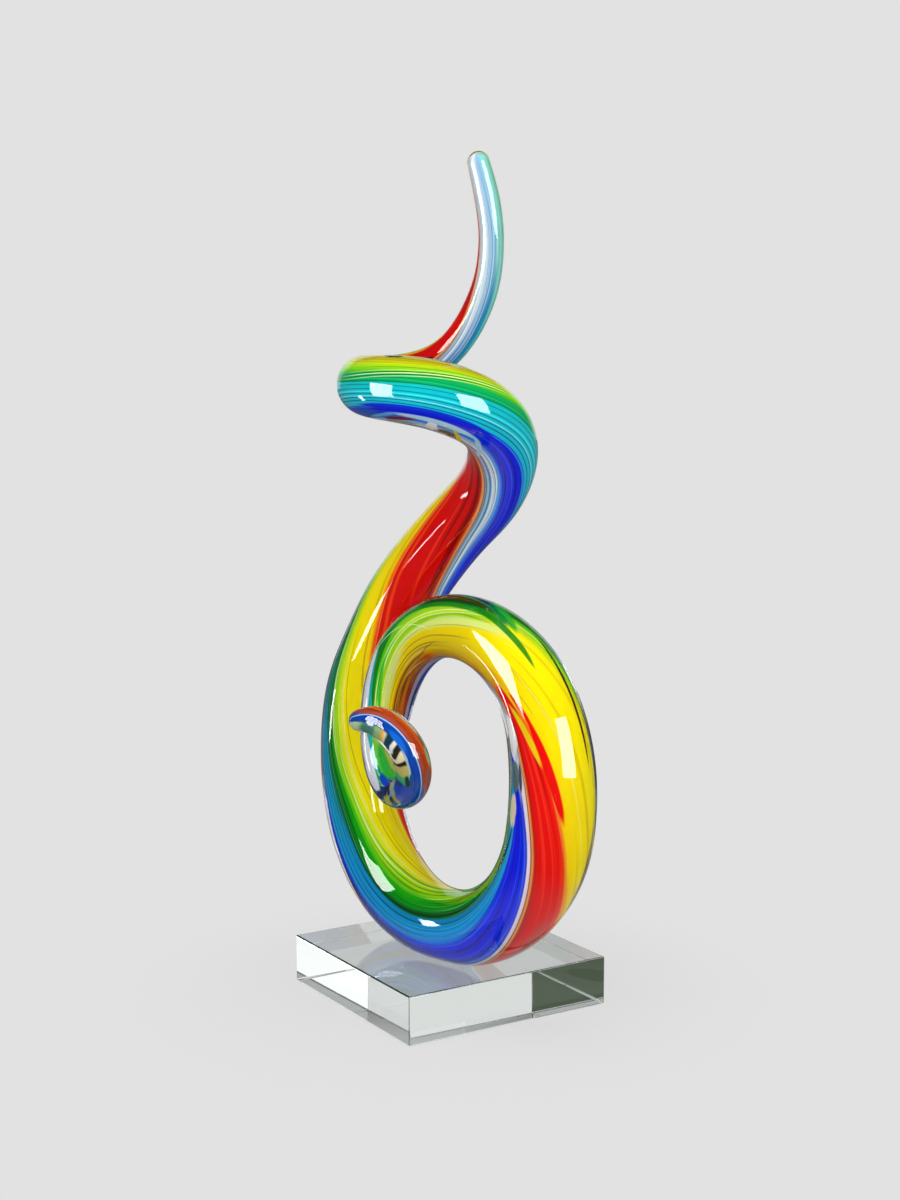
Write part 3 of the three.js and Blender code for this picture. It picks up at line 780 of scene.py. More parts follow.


# Each cane's glass: its colours across it as (place, colour); stretches of the rod where it was
# drawn in another colour as (from mm, to mm, fade mm, colour, strength); streaks along it as
# (colour, strength, lines across, streak length in m, mask from, mask to, from mm, to mm); single
# threads as (place at the start, at the end, half width, softness, from mm, to mm, colour, strength).
# -9 mm and 900 mm lie beyond the rod's ends. A few short streaks on the hook are painted glints and dark reflections of
# its clear glass.
CANE_GLASS_AND_GLINTS = {
    "cane_blue": {
        "across": [(0, "2c78f4"), (0.07, "0a34f4"), (0.35, "0412ec"), (0.8, "0418f0"), (0.95, "0648f0"), (1, "0a80f0")],
        "stretches": [(-9, 88, 20, "0a4ca8", 0.9), (704, 900, 26, "1c94d4", 0.92), (748, 900, 30, "9ccce4", 0.85)],
        "streaks": [("020888", 0.8, 9, 0.14, 0.56, 0.61, -9, 730), ("2c6cfc", 0.6, 12, 0.16, 0.62, 0.67, -9, 730),
                    ("f0f8ff", 0.7, 8, 0.14, 0.6, 0.64, 730, 900)],
        "threads": [(0.1, 0.1, 0.1, 0.5, -9, 46, "b0d4f0", 0.95), (0.15, 0.15, 0.3, 0.5, 716, 790, "a4cce8", 0.85),
                    (0.16, 0.24, 0.03, 0.6, 540, 660, "02044c", 0.85), (0.42, 0.5, 0.03, 0.6, 520, 660, "2c64fc", 0.7),
                    (0.6, 0.64, 0.03, 0.6, 500, 660, "020878", 0.7), (0.92, 0.88, 0.035, 0.6, 540, 670, "2ca4f4", 0.85),
                    (0.3, 0.35, 0.03, 0.6, 240, 400, "2050f8", 0.6), (0.62, 0.55, 0.025, 0.6, 240, 400, "020870", 0.7),
                    (0.82, 0.8, 0.03, 0.6, 250, 380, "2464f8", 0.6), (0.4, 0.35, 0.05, 0.6, 712, 787, "3484b4", 0.8),
                    (0.62, 0.6, 0.06, 0.6, 712, 787, "eef8fc", 0.8), (0.85, 0.85, 0.05, 0.6, 712, 787, "2484c4", 0.8)],
    },
    "cane_turquoise": {
        "across": [(0, "0a88ec"), (0.12, "0ab4ec"), (0.55, "089cc0"), (0.85, "067880"), (1, "047a50")],
        "stretches": [(-9, 78, 20, "0c3c70", 0.9), (285, 400, 30, "0690e4", 0.7), (445, 505, 15, "067c68", 0.8),
                      (560, 728, 40, "10d0dc", 0.85), (718, 900, 22, "3cd0cc", 0.9), (752, 900, 30, "98dcd0", 0.8)],
        "streaks": [("044a6c", 0.85, 10, 0.2, 0.6, 0.635, 85, 560), ("50e0f4", 0.55, 10, 0.16, 0.62, 0.67, 85, 560),
                    # PAINTED LIGHT: the next line's first two streaks, on the hook, are painted glints and dark
                    # reflections of its clear glass.
                    ("d8f2e4", 0.6, 5, 0.012, 0.56, 0.6, -9, 75), ("041c38", 0.8, 4, 0.02, 0.6, 0.65, -9, 75),
                    ("e6f8f6", 0.7, 7, 0.12, 0.56, 0.64, 710, 900)],
        "threads": [(0.1, 0.1, 0.25, 0.5, 716, 758, "1c88c4", 0.85), (0.08, 0.3, 0.03, 0.6, 545, 722, "0444a0", 0.9),
                    (0.24, 0.42, 0.022, 0.6, 545, 722, "045a7c", 0.95),
                    (0.31, 0.48, 0.022, 0.7, 545, 722, "a0f8ff", 0.85),
                    (0.44, 0.58, 0.022, 0.6, 545, 722, "05687c", 0.95),
                    (0.53, 0.65, 0.05, 0.8, 545, 722, "40f4fc", 0.8), (0.64, 0.75, 0.022, 0.6, 545, 722, "056c78", 0.9),
                    (0.84, 0.91, 0.025, 0.6, 545, 722, "067c5c", 0.85), (0.2, 0.25, 0.03, 0.6, 270, 480, "0464c8", 0.8),
                    (0.36, 0.4, 0.04, 0.7, 270, 480, "10b4f4", 0.8), (0.5, 0.5, 0.02, 0.6, 270, 480, "055c90", 0.85),
                    (0.68, 0.64, 0.05, 0.7, 270, 480, "08a4c8", 0.8), (0.8, 0.78, 0.025, 0.6, 270, 480, "045c5c", 0.9)],
    },
    "cane_green": {
        "across": [(0, "047a50"), (0.2, "048428"), (0.6, "05a00a"), (0.9, "18b008"), (1, "48c414")],
        "stretches": [(-9, 80, 20, "18a860", 0.8), (105, 185, 20, "067a14", 0.7), (445, 500, 15, "088c5c", 0.75),
                      (560, 720, 30, "08b86c", 0.7), (735, 900, 40, "8cd8b8", 0.85)],
        "streaks": [("023c14", 0.9, 8, 0.14, 0.55, 0.61, 85, 560), ("78e058", 0.5, 9, 0.14, 0.62, 0.68, 85, 730),
                    # PAINTED LIGHT: the next streak, on the hook, is painted glints of its clear glass.
                    ("e8f8e8", 0.8, 4, 0.012, 0.58, 0.62, -9, 78)],
        "threads": [(0.1, 0.1, 0.05, 0.6, 560, 722, "056c54", 0.9), (0.34, 0.3, 0.04, 0.6, 570, 722, "20d494", 0.8),
                    (0.5, 0.5, 0.03, 0.6, 570, 722, "048c48", 0.8), (0.3, 0.25, 0.035, 0.6, 300, 420, "024c1c", 0.8),
                    (0.55, 0.5, 0.03, 0.6, 300, 420, "02580c", 0.8)],
    },
    "cane_lime": {
        "across": [(0, "48c414"), (0.3, "90dc14"), (0.75, "b4e414"), (1, "dcec14")],
        "stretches": [(-9, 85, 20, "70c070", 0.6), (92, 128, 12, "3cc418", 0.8), (740, 900, 40, "d4eeb4", 0.85)],
        "streaks": [("3c8a10", 0.8, 8, 0.14, 0.57, 0.62, 85, 570), ("f0fab0", 0.8, 9, 0.14, 0.6, 0.64, 85, 570),
                    ("1a2c08", 0.95, 8, 0.4, 0.6, 0.62, 672, 735), ("fcffe0", 0.95, 8, 0.4, 0.39, 0.37, 672, 735)],
        "threads": [(0.75, 0.7, 0.05, 0.7, 320, 430, "e4f48c", 0.85), (0.55, 0.5, 0.04, 0.6, 320, 430, "4c9408", 0.8),
                    (0.9, 0.88, 0.03, 0.6, 320, 430, "5c9c10", 0.75)],
    },
    "cane_yellow": {
        "across": [(0, "dcec14"), (0.12, "fcec00"), (0.86, "ffe400"), (0.96, "ffd800"), (1, "ffa806")],
        "stretches": [(-9, 90, 15, "a8c070", 0.7), (100, 175, 20, "e8c800", 0.5), (560, 735, 25, "d0cc08", 0.75),
                      (745, 900, 40, "d8e460", 0.85)],
        "streaks": [("b89404", 0.35, 8, 0.16, 0.6, 0.66, 178, 330), ("fff690", 0.35, 7, 0.18, 0.62, 0.68, 178, 330),
                    ("b08c04", 0.55, 8, 0.16, 0.6, 0.65, 330, 740), ("fff690", 0.5, 7, 0.18, 0.62, 0.68, 330, 740),
                    ("4c3a0c", 0.8, 7, 0.3, 0.63, 0.66, 600, 740)],
        "threads": [(0.02, 0, 0.26, 0.5, 92, 172, "7cd41c", 0.85), (0.34, 0.22, 0.14, 0.7, 92, 180, "dcec8c", 0.85),
                    (0.3, 0.32, 0.02, 0.6, 100, 170, "889c14", 0.6), (0.55, 0.6, 0.03, 0.6, 92, 165, "c09008", 0.8),
                    (0.66, 0.8, 0.025, 0.6, 92, 150, "8c5c08", 0.8), (0.8, 0.9, 0.05, 0.7, 92, 150, "c88c0c", 0.7),
                    (0.1, 0.12, 0.05, 0.7, 340, 470, "e8ec70", 0.7), (0.3, 0.26, 0.02, 0.6, 330, 480, "a89808", 0.7)],
    },
    "cane_orange": {
        "across": [(0, "ffa806"), (0.5, "f86408"), (1, "f02806")],
        "stretches": [(-9, 95, 12, "e2620e", 0.9), (92, 134, 12, "dc9c10", 0.95), (136, 205, 14, "f4cc06", 0.95),
                      (750, 900, 40, "f0d8b0", 0.7)],
        "streaks": [("6a1c06", 0.8, 4, 0.08, 0.54, 0.6, 85, 134), ("ffc468", 0.5, 4, 0.1, 0.6, 0.66, -9, 900),
                    ("a81804", 0.8, 3, 0.06, 0.54, 0.6, -9, 95)],
        "threads": [],
    },
    "cane_red": {
        "across": [(0, "f43406"), (0.1, "f40a04"), (0.9, "ec0604"), (1, "d01c10")],
        "stretches": [(-9, 95, 12, "cc4808", 0.9), (92, 134, 12, "d06c10", 0.9), (140, 190, 12, "ecc406", 0.95),
                      (480, 735, 40, "c80606", 0.6), (738, 900, 20, "9c0808", 0.6), (786, 900, 14, "e0b8b0", 0.7)],
        "streaks": [("8c0202", 0.75, 6, 0.16, 0.6, 0.65, 200, 760), ("ff4a2a", 0.4, 7, 0.14, 0.63, 0.7, 200, 760),
                    ("f08030", 0.7, 3, 0.05, 0.55, 0.6, -9, 95)],
        "threads": [(0.4, 0.45, 0.06, 0.7, -9, 90, "e87c20", 0.7), (0.7, 0.7, 0.05, 0.7, -9, 90, "9c2404", 0.7),
                    (0.12, 0.1, 0.06, 0.8, 470, 600, "f84408", 0.7), (0.93, 0.95, 0.03, 0.6, 470, 620, "5c0404", 0.8)],
    },
    "cane_coral": {
        "across": [(0, "a82010"), (0.35, "f08840"), (0.7, "f8a060"), (1, "5c4038")],
        "stretches": [(-9, 95, 12, "b43c10", 0.95), (92, 134, 12, "a83414", 0.9), (140, 188, 12, "d89010", 0.9),
                      (752, 900, 30, "f4e4dc", 0.8)],
        "streaks": [("7c3420", 0.6, 3, 0.08, 0.54, 0.6, -9, 740)],
        "threads": [],
    },
    "cane_pale": {
        "across": [(0, "8c8c98"), (0.2, "a8c8dc"), (0.45, "64a0c8"), (0.6, "e4f4fa"), (0.7, "f4fcff"), (0.8, "7cbcec"),
                   (1, "2a6cec")],
        "stretches": [(-9, 44, 8, "b43e0c", 0.95), (44, 95, 8, "1450b0", 0.9), (92, 134, 12, "c0a8bc", 0.8),
                      (225, 330, 20, "f0e4e6", 0.9), (735, 900, 40, "eef6fa", 0.7)],
        "streaks": [("ffffff", 0.85, 7, 0.2, 0.41, 0.38, 85, 480)],
        "threads": [(0.93, 0.93, 0.08, 0.5, -9, 44, "7c1c08", 0.9), (0.85, 0.85, 0.3, 0.3, 232, 330, "0618e4", 0.95),
                    (0.1, 0.14, 0.035, 0.6, 490, 730, "1c344c", 0.85), (0.24, 0.26, 0.05, 0.7, 490, 900, "b4dcec", 0.8),
                    (0.36, 0.32, 0.03, 0.6, 500, 730, "24567c", 0.85), (0.52, 0.5, 0.09, 0.8, 480, 900, "f4fcff", 0.9),
                    (0.7, 0.66, 0.03, 0.6, 500, 730, "1c5494", 0.85), (0.86, 0.84, 0.05, 0.7, 500, 730, "3c94f0", 0.8),
                    (0.14, 0.12, 0.03, 0.6, 720, 787, "a4b4c0", 0.8), (0.34, 0.34, 0.025, 0.6, 720, 787, "84a4b8", 0.9),
                    (0.64, 0.66, 0.025, 0.6, 720, 787, "7ca8c4", 0.9), (0.78, 0.8, 0.04, 0.6, 720, 787, "a8d4ec", 0.9),
                    (0.92, 0.92, 0.03, 0.6, 720, 787, "5c90b4", 0.9)],
    },
}

# PAINTED LIGHT. Lengths of colour on the inner side of the hook: (mm along the rod, colour).
# They stand mostly for views refracted through the clear glass, with glints and dark reflections among
# them. Painted on the canes they hold only as seen from the camera.
HOOK_PAINTED_LIGHT = [
    (-2, "30a050"), (1, "dce8c0"), (5.5, "b8d0a0"), (7.5, "4c8c80"), (13.5, "5c9488"), (14.5, "94c484"),
    (17, "a4c88c"), (17.6, "f4b420"), (19.2, "ecdcb0"), (20.2, "0c4456"), (23.6, "103c50"), (24.1, "fcfcf8"),
    (25.5, "fcfcf8"),
    (26, "241804"), (28, "302408"), (28.6, "f4e8c8"), (30.8, "ecdcb0"), (31.3, "141808"), (32.4, "1c2008"),
    (33.1, "c8b468"), (36.4, "c0b860"), (37.2, "38b460"), (40, "2ca068"), (41.2, "0c3078"), (47, "0c3878"),
    (49, "b8b840"), (52, "a0a440"), (53.5, "06104c"), (60, "0a1c5c"),
]

# The turns in degrees between which they lie, and their fade in turns; their stretch and its fade
# in mm; how far their joins stray in mm, the stray's waves in mm and in waves for a turn, and the
# turns by which a metre of it moves their sides
PATCH_TURNS = (190, 300)
PATCH_TURN_FADE = 0.02
PATCH_STRETCH = (-9, 60)
PATCH_FADE = 4
PATCH_STRAY = 6
PATCH_WAVE = 7
PATCH_TURN_WAVES = 5.0
PATCH_SIDE_STRAY = 12.0

# Patches over the canes' colours: middle and half length along the rod in mm, middle and half
# width round it in degrees, lean in degrees for each mm, softness, colour, strength, canes.
# Most are flames of other glass. A row marked PAINTED LIGHT stands instead for painted glints, reflections and
# views refracted through the clear glass, and holds only as seen from the camera. A row marked PAINTED LIGHT
# stands for a reflection or a refracted view instead and holds for the photo's side only; "perhaps" marks one
# that may be either.
FLAMES_AND_PAINTED_LIGHT = [
    (173, 10, 172, 12, 2.4, 0.4, "1cb428", 0.9, "green lime yellow"),
    (147, 33, 192, 29, 0, 0.15, "058a10", 0.95, "green lime yellow turquoise"),
    (177, 19, 206, 8, 0.2, 0.2, "058a10", 0.95, "green lime yellow"),
    (146, 28, 186, 21, 0, 0.35, "033c08", 0.95, "green lime turquoise"),
    (160, 6, 156, 16, 1.5, 0.4, "1c0806", 0.9, "green lime"),
    (112, 18, 248, 11, -1.4, 0.3, "057c14", 0.95, "green lime"),
    (108, 14, 276, 9, -1.4, 0.4, "22b810", 0.9, "lime green yellow"),
    (112, 20, 302, 14, -0.7, 0.5, "d0dc80", 0.85, "yellow lime"),
    (156, 20, 251, 13, -1.25, 0.5, "dce87c", 0.8, "yellow lime"),
    (163, 14, 228, 1.3, -0.9, 0.6, "7c9c0c", 0.85, "lime yellow green"),
    (80, 14, 268, 12, -0.8, 0.35, "18b0b4", 0.95, "green turquoise lime"),
    (105, 14, 241, 14, -1.6, 0.35, "14a8ac", 0.95, "green turquoise lime"),
    (68, 20, 318, 24, -1, 0.4, "14b83c", 0.9, "green lime yellow"),
    (62, 7, 281, 18, 0.5, 0.3, "0a38d0", 0.95, "green turquoise lime"),
    (76, 15, 234, 34, -0.3, 0.15, "e6e6f2", 1, "turquoise green blue lime"),  # PAINTED LIGHT
    (102, 18, 222, 23, -1, 0.2, "e6e6f2", 1, "turquoise green"),  # PAINTED LIGHT
    (124, 10, 221, 2.2, 2.05, 0.5, "c8f4d8", 0.9, "green lime"),  # PAINTED LIGHT
    (141, 9, 261, 1, 2.6, 0.6, "f6fad0", 0.8, "green lime yellow"),  # PAINTED LIGHT
    (108, 14, 358, 5, -0.6, 0.4, "e07c10", 0.95, "orange red coral"),
    (109, 13, 348, 2.6, -0.4, 0.5, "5c2804", 0.95, "yellow orange red"),
    (138, 14, 324, 1.6, -1.6, 0.5, "8c5c08", 0.9, "yellow orange"),
    (113, 18, 14, 7, -0.6, 0.4, "a83414", 0.95, "red coral pale"),
    (110, 13, 6, 2.5, -0.5, 0.5, "6c1404", 0.95, "red coral orange pale"),
    (123, 9, 347, 1.5, 0.7, 0.4, "fce8b0", 0.9, "orange red yellow"),
    (108, 12, 47, 9, 0, 0.4, "0c2c40", 0.9, "blue pale"),
    # perhaps PAINTED LIGHT
    (205, 26, 149, 5.5, -0.15, 0.3, "4c0c04", 1, "lime yellow green"),  # a dark red-brown band near the ring's outline as seen from the camera
    (201, 11, 262, 0.9, -1.8, 0.6, "8c7408", 0.8, "yellow orange"),
    (226, 20, 238, 10, -1.5, 0.25, "f00c04", 1, "yellow orange"),
    (205, 9, 271, 5.5, -1.9, 0.3, "f00c04", 1, "yellow orange"),
    (213, 13, 274, 8, -2, 0.3, "f4d008", 1, "red orange yellow"),
    (213, 10, 322, 24, 0, 0.25, "f8fcfc", 0.95, "coral pale blue"),  # PAINTED LIGHT
    (229.5, 7, 322, 20, 0, 0.2, "54706c", 0.95, "pale blue turquoise coral"),  # PAINTED LIGHT
    (229.5, 7, 301, 6, -0.3, 0.4, "081438", 0.9, "pale blue coral"),  # PAINTED LIGHT
    (244, 8, 326, 16, 0, 0.25, "ecdfb8", 0.95, "blue turquoise pale"),  # PAINTED LIGHT
    # PAINTED LIGHT: a red-brown reflection in the clear window on the ring's inner right.
    (254, 3, 338, 10, 0, 0.4, "a81c24", 0.9, "blue"),
    (264, 18, 327, 4.5, 0.35, 0.4, "04141c", 0.95, "turquoise blue green"),  # PAINTED LIGHT
    # perhaps PAINTED LIGHT
    (302, 26, 172, 22, -0.9, 0.9, "a4604c", 0.75, "red orange yellow"),  # a duller brown patch on the red, low on the ring's right side
    (336, 14, 202, 23, 0.3, 0.4, "b4bcbc", 0.9, "red coral pale blue"),  # PAINTED LIGHT
    (366, 26, 229, 12, -0.1, 0.5, "081028", 0.85, "blue pale"),  # PAINTED LIGHT
    (338, 9, 198, 13, 0.4, 0.4, "2c3834", 0.9, "red coral pale blue"),  # PAINTED LIGHT
    (336, 5, 194, 7, 0.4, 0.5, "e8ecec", 0.9, "red coral pale blue"),  # PAINTED LIGHT
    (264, 22, 130, 14, 0.5, 0.5, "8c8878", 0.85, "yellow lime"),  # PAINTED LIGHT
    (268, 16, 140, 4, 0.5, 0.5, "34382c", 0.8, "yellow lime"),  # PAINTED LIGHT
    (576, 34, 236, 26, 1.4, 0.9, "f0d4cc", 0.85, "red yellow orange"),  # PAINTED LIGHT
    (604, 14, 262, 16, 0, 0.8, "7c0a08", 0.8, "red coral pale"),
    # perhaps PAINTED LIGHT
    (622, 6, 305, 18, 0, 0.3, "545438", 0.95, "pale coral red"),  # a dark olive patch near the coil's lower outline
    (617, 7, 306, 9, 4.5, 0.4, "f4d808", 1, "pale coral red"),
    (625, 7, 331, 3, 0, 0.4, "e0c410", 0.95, "pale coral"),
    (630.5, 2.6, 314, 25, 0, 0.2, "ffffff", 1, "pale coral red"),  # PAINTED LIGHT
    # perhaps PAINTED LIGHT
    (643, 8, 305, 11, 0, 0.4, "a89490", 0.8, "pale coral red"),  # a greyish pink patch near the coil's lower outline
    (643, 8, 322, 10, -1, 0.4, "781010", 0.95, "pale coral red"),
    # perhaps PAINTED LIGHT
    (651, 5.5, 146, 18, 0, 0.3, "2c1a08", 1, "yellow orange lime"),  # a dark brown band near the coil's top outline as seen from the camera
    # perhaps PAINTED LIGHT
    (692, 18, 130, 10, 0.6, 0.3, "2c1404", 1, "yellow orange red"),  # a dark brown band near the coil's top outline as seen from the camera
    # perhaps PAINTED LIGHT
    (713, 8, 172, 5, 4.5, 0.4, "2c1404", 0.95, "yellow orange red"),  # a dark brown band near the coil's top outline as seen from the camera
    (632, 28, 1, 10, -0.2, 0.25, "0414e4", 0.95, "turquoise blue"),
    (658, 10, 330, 22, -1, 0.4, "0a50c0", 0.9, "blue pale turquoise"),
    (606, 10, 322, 8, 2.2, 0.4, "b4e0f4", 0.95, "blue pale coral"),
    (628, 20, 339, 9, 0, 0.35, "c4e8f8", 0.95, "blue pale"),
    (649, 8, 330, 6, -1.6, 0.4, "6cb4ec", 0.9, "blue pale"),
    (636, 36, 80, 1.2, -1.15, 0.6, "e4f4a8", 0.8, "green lime yellow"),
    (636, 36, 84, 1.0, -1.15, 0.5, "24380c", 0.95, "green lime yellow"),
    (636, 36, 88, 1.5, -1.15, 0.5, "f4fcd0", 0.95, "green lime yellow"),
    (636, 36, 91.5, 1.0, -1.15, 0.5, "1c2c08", 0.95, "green lime yellow"),
    (636, 36, 96, 1.4, -1.15, 0.6, "e0f4a0", 0.8, "green lime yellow"),
    (636, 34, 104, 1.0, -1.0, 0.6, "4c6c0c", 0.8, "green lime yellow"),
    (1, 7, 132, 20, -1, 0.4, "0c4c8c", 0.95, "pale coral"),
    (46, 6, 128, 24, 0, 0.5, "0c3cb0", 0.9, "pale coral"),
    (46, 5.5, 200, 60, 0, 0.3, "0c40b0", 0.9, "blue turquoise green"),
    (49.5, 6.5, 258, 12, -5.5, 0.4, "6ca0dc", 0.95, "turquoise green lime"),
    (57.5, 3, 208, 30, -6, 0.35, "b8b840", 0.95, "turquoise blue green"),
    (62.5, 3, 214, 26, -5, 0.4, "06104c", 0.95, "turquoise blue green"),
    (20, 7, 62, 18, 0, 0.4, "ecd8a8", 0.9, "orange yellow red"),
    (33, 4, 66, 16, 0, 0.4, "98dc90", 0.9, "orange yellow red"),
    (28, 2, 58, 12, 0, 0.4, "1c6c2c", 0.9, "orange yellow red"),
    (10, 5, 90, 6, 4, 0.5, "f4943c", 0.95, "orange red coral"),
    (9, 5, 104, 4, 3.5, 0.5, "8c1c04", 0.95, "orange red coral pale"),
    (15, 6, 84, 4, 3.5, 0.5, "942004", 0.9, "orange red coral"),
    (39, 4, 95, 25, 0, 0.5, "94604c", 0.8, "red orange coral"),
    # PAINTED LIGHT: bright azure glints in the hook's blue.
    (24, 5.5, 172, 20, 0, 0.5, "1470e0", 0.85, "blue turquoise"),
    (11.8, 2.2, 194, 13, 0, 0.3, "f4fcfc", 1, "turquoise blue"),  # PAINTED LIGHT
    (15.5, 2.5, 172, 11, 0, 0.4, "061c50", 0.9, "blue turquoise"),
    (39, 3.2, 200, 14, 0, 0.4, "04103c", 0.95, "blue turquoise"),
]


def hook_painted_light(tree, along, turn, colour):
    """Blends the hook's painted light over a colour: lengths of colour that stand for views refracted through its clear
    glass, with glints and dark reflections among them.
    """
    spot = vector_of(tree, sums(tree, "DIVIDE", along, PATCH_WAVE * MM),
                     sums(tree, "MULTIPLY", turn, PATCH_TURN_WAVES))
    wave = noise(tree, spot, detail=0.5, label="Uneven joins")[0]
    stray = sums(tree, "MULTIPLY", sums(tree, "SUBTRACT", wave, 0.5), PATCH_STRAY * MM)
    first, last = HOOK_PAINTED_LIGHT[0][0], HOOK_PAINTED_LIGHT[-1][0]
    place = remap(tree, sums(tree, "ADD", along, stray), first * MM, last * MM,
                  label="Place along the hook", kind="LINEAR")
    stops = [((at - first) / (last - first), code) for at, code in HOOK_PAINTED_LIGHT]
    patches = colour_ramp(tree, place, stops, "Painted light on the hook")
    turned = sums(tree, "ADD", sums(tree, "FRACT", turn), sums(tree, "MULTIPLY", stray, PATCH_SIDE_STRAY))
    sides = within(tree, turned, PATCH_TURNS[0] / 360, PATCH_TURNS[1] / 360, PATCH_TURN_FADE)
    stretch = within(tree, along, PATCH_STRETCH[0] * MM, PATCH_STRETCH[1] * MM, PATCH_FADE * MM)
    return blend_colour(tree, sums(tree, "MULTIPLY", sides, stretch), colour, patches)


def cane_glass_and_painted_light(number, cane):
    """Opaque drawn glass of one cane, with painted light over its colours where the tables mark it: glints, reflections
    and views refracted through the clear glass.
    """
    recipe = CANE_GLASS_AND_GLINTS[cane]
    name = cane.replace("cane_", "")
    material, tree, shader = new_material("Drawn_" + name)
    uv = parts_of(tree, new_node(tree, "ShaderNodeUVMap", uv_map="UVMap").outputs[0])
    along = uv[0]
    across = sums(tree, "SUBTRACT", uv[1], float(number), label="Across this cane")
    turn = parts_of(tree, new_node(tree, "ShaderNodeUVMap", uv_map="TurnMap").outputs[0])[1]

    wander = streaks(tree, along, across, *WANDER, WANDER_SEED + number)
    wander = sums(tree, "MULTIPLY", sums(tree, "SUBTRACT", wander, 0.5), WANDER_REACH)
    colour = colour_ramp(tree, sums(tree, "ADD", across, wander), recipe["across"], "Colours across the cane")
    for start, end, fade, code, strength in recipe["stretches"]:
        mask = within(tree, along, start * MM, end * MM, fade * MM)
        colour = painted(tree, mask, strength, colour, code)
    for layer, (code, strength, lines, length, low, high, start, end) in enumerate(recipe["streaks"]):
        mask = streaks(tree, along, across, lines, length, low, high,
                       STREAK_SEED * layer + CANE_SEED * number, start * MM, end * MM)
        colour = painted(tree, mask, strength, colour, code)
    # Painted light on the inner side of the hook: its clear glass's refracted views, glints and reflections.
    if name in ("turquoise", "green"):
        colour = hook_painted_light(tree, along, turn, colour)
    for first, last, wide, soft, start, end, code, strength in recipe["threads"]:
        mask = in_group(tree, thread_group, {
            "Along": along, "Across": across, "First place": first, "Last place": last, "Half width": wide,
            "Softness": soft, "Start": start * MM, "End": end * MM, "Seed": THREAD_SEED * number})[0]
        colour = painted(tree, mask, strength, colour, code)
    for middle, half, centre, wide, lean, soft, code, strength, canes in FLAMES_AND_PAINTED_LIGHT:
        if name not in canes.split():
            continue
        mask = in_group(tree, flame_and_light_group, {
            "Along": along, "Turn": turn, "Middle": middle * MM, "Half length": half * MM,
            "Middle turn": centre / 360, "Half width": wide / 360, "Lean": lean / 360 / MM, "Softness": soft,
            "Uneven": min(FLAME_UNEVEN, FLAME_STRAY / half)})[0]
        colour = painted(tree, mask, strength, colour, code)
    for key, value in (("Base Color", colour), ("Roughness", CANE_ROUGHNESS), ("Specular IOR Level", 0)):
        put(tree, value, shader.inputs[key])
    return material


casing_glass = clear_glass("Casing_clear_glass", tint=(0.97, 0.985, 0.985, 1), ior=1.5,
                           waves=38, wave_height=0.00014, most_roughness=0.03)
block_glass = clear_glass("Block_crystal", tint=(0.93, 0.98, 0.955, 1), ior=1.52,
                          waves=9, wave_height=0.00002, most_roughness=0.02)
bond_glass = clear_glass("Bond_clear_adhesive", tint=(0.96, 0.97, 0.96, 1), ior=1.5,
                         waves=120, wave_height=0.00002, most_roughness=0.08)

# ---------------------------------------------------------------- the pieces

sweep = swept_glass_tree()
flat_height = (BASE_THICK + BOND_THICK) * MM

casing = swept_piece("rod_clear_glass", sweep, casing_stations(), {
    "Columns": SKIN_SIDES, "Wedge": 0.0, "Wedge middle": 0.0,
    "Least height": flat_height, "Number": 0.0, "Glass": casing_glass,
})
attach(casing, "root")
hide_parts("clear_casing")

for number, node in enumerate(CANES):
    widest = max(row[2 + number] for row in TWIST)
    cane = swept_piece(node + "_drawn", sweep, cane_stations(number), {
        "Columns": max(6, round(CORE_SIDES * widest / 360)) + 2, "Wedge": 1.0,
        "Wedge middle": CORE_MIDDLE * MM, "Least height": 0.0, "Number": float(number),
        "Glass": cane_glass_and_painted_light(number, node),
    })
    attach(cane, "root")
    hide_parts(node)


def ground_block():
    """Crystal block with its edges and corners ground to a fine round."""
    half = BASE_SIDE * MM / 2
    top = BASE_THICK * MM
    corners = [(x * half, y * half, z) for z in (0, top) for x, y in ((1, -1), (1, 1), (-1, 1), (-1, -1))]
    faces = [(3, 2, 1, 0), (4, 5, 6, 7), (0, 1, 5, 4), (1, 2, 6, 5), (2, 3, 7, 6), (3, 0, 4, 7)]
    mesh = bpy.data.meshes.new("crystal_block")
    mesh.from_pydata(corners, [], faces)
    block = placed("crystal_block", mesh)
    mesh.materials.append(block_glass)
    bevel = block.modifiers.new("Ground edges", "BEVEL")
    bevel.width = BASE_EDGE * MM
    bevel.segments = 3
    bevel.harden_normals = True
    return block


block = ground_block()
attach(block, "root")
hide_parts("crystal_base")

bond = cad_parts["bond_layer"]
bond.data.materials.clear()
bond.data.materials.append(bond_glass)

# ---------------------------------------------------------------- floor, world, lamps, camera

# The pale background, what gloss shows beside it, and the light that the world gives
PALE = 0.76
ROOM = 0.09
ROOM_LIGHT = 0.4

# The backdrop that gloss shows and the black card that is seen through glass: heading, half width
# and its fade in degrees, then heights and their fade on a scale from -1 (down) to 1 (up)
BACKDROP_HEADING = 57.8
BACKDROP_HALF = 32
BACKDROP_SIDE_FADE = 8
BACKDROP_LOW = -2
BACKDROP_TOP = 0.37
BACKDROP_FADE = 0.08
CARD_HEADING = 126
CARD_HALF = 26
CARD_SIDE_FADE = 6
CARD_LOW = 0.12
CARD_HIGH = 0.6
CARD_FADE = 0.06
CARD_COLOUR = (0.06, 0.085, 0.05, 1)

# The floor in metres: half its side, its drop below the block, and the distances from the middle
# over which its gloss colour and its even glow change; then its tones
FLOOR_REACH = 4.0
FLOOR_DROP = 0.0003
SHINE_CHANGES = (0.07, 0.14)
GLOW_CHANGES = (0.05, 0.15)
FLOOR_TONE = 0.62
FLOOR_SHINE = 0.14
NEAR_SHINE = 0.48
NEAR_GLOW = 0.8


def grey(tone):
    return (tone, tone, tone, 1)


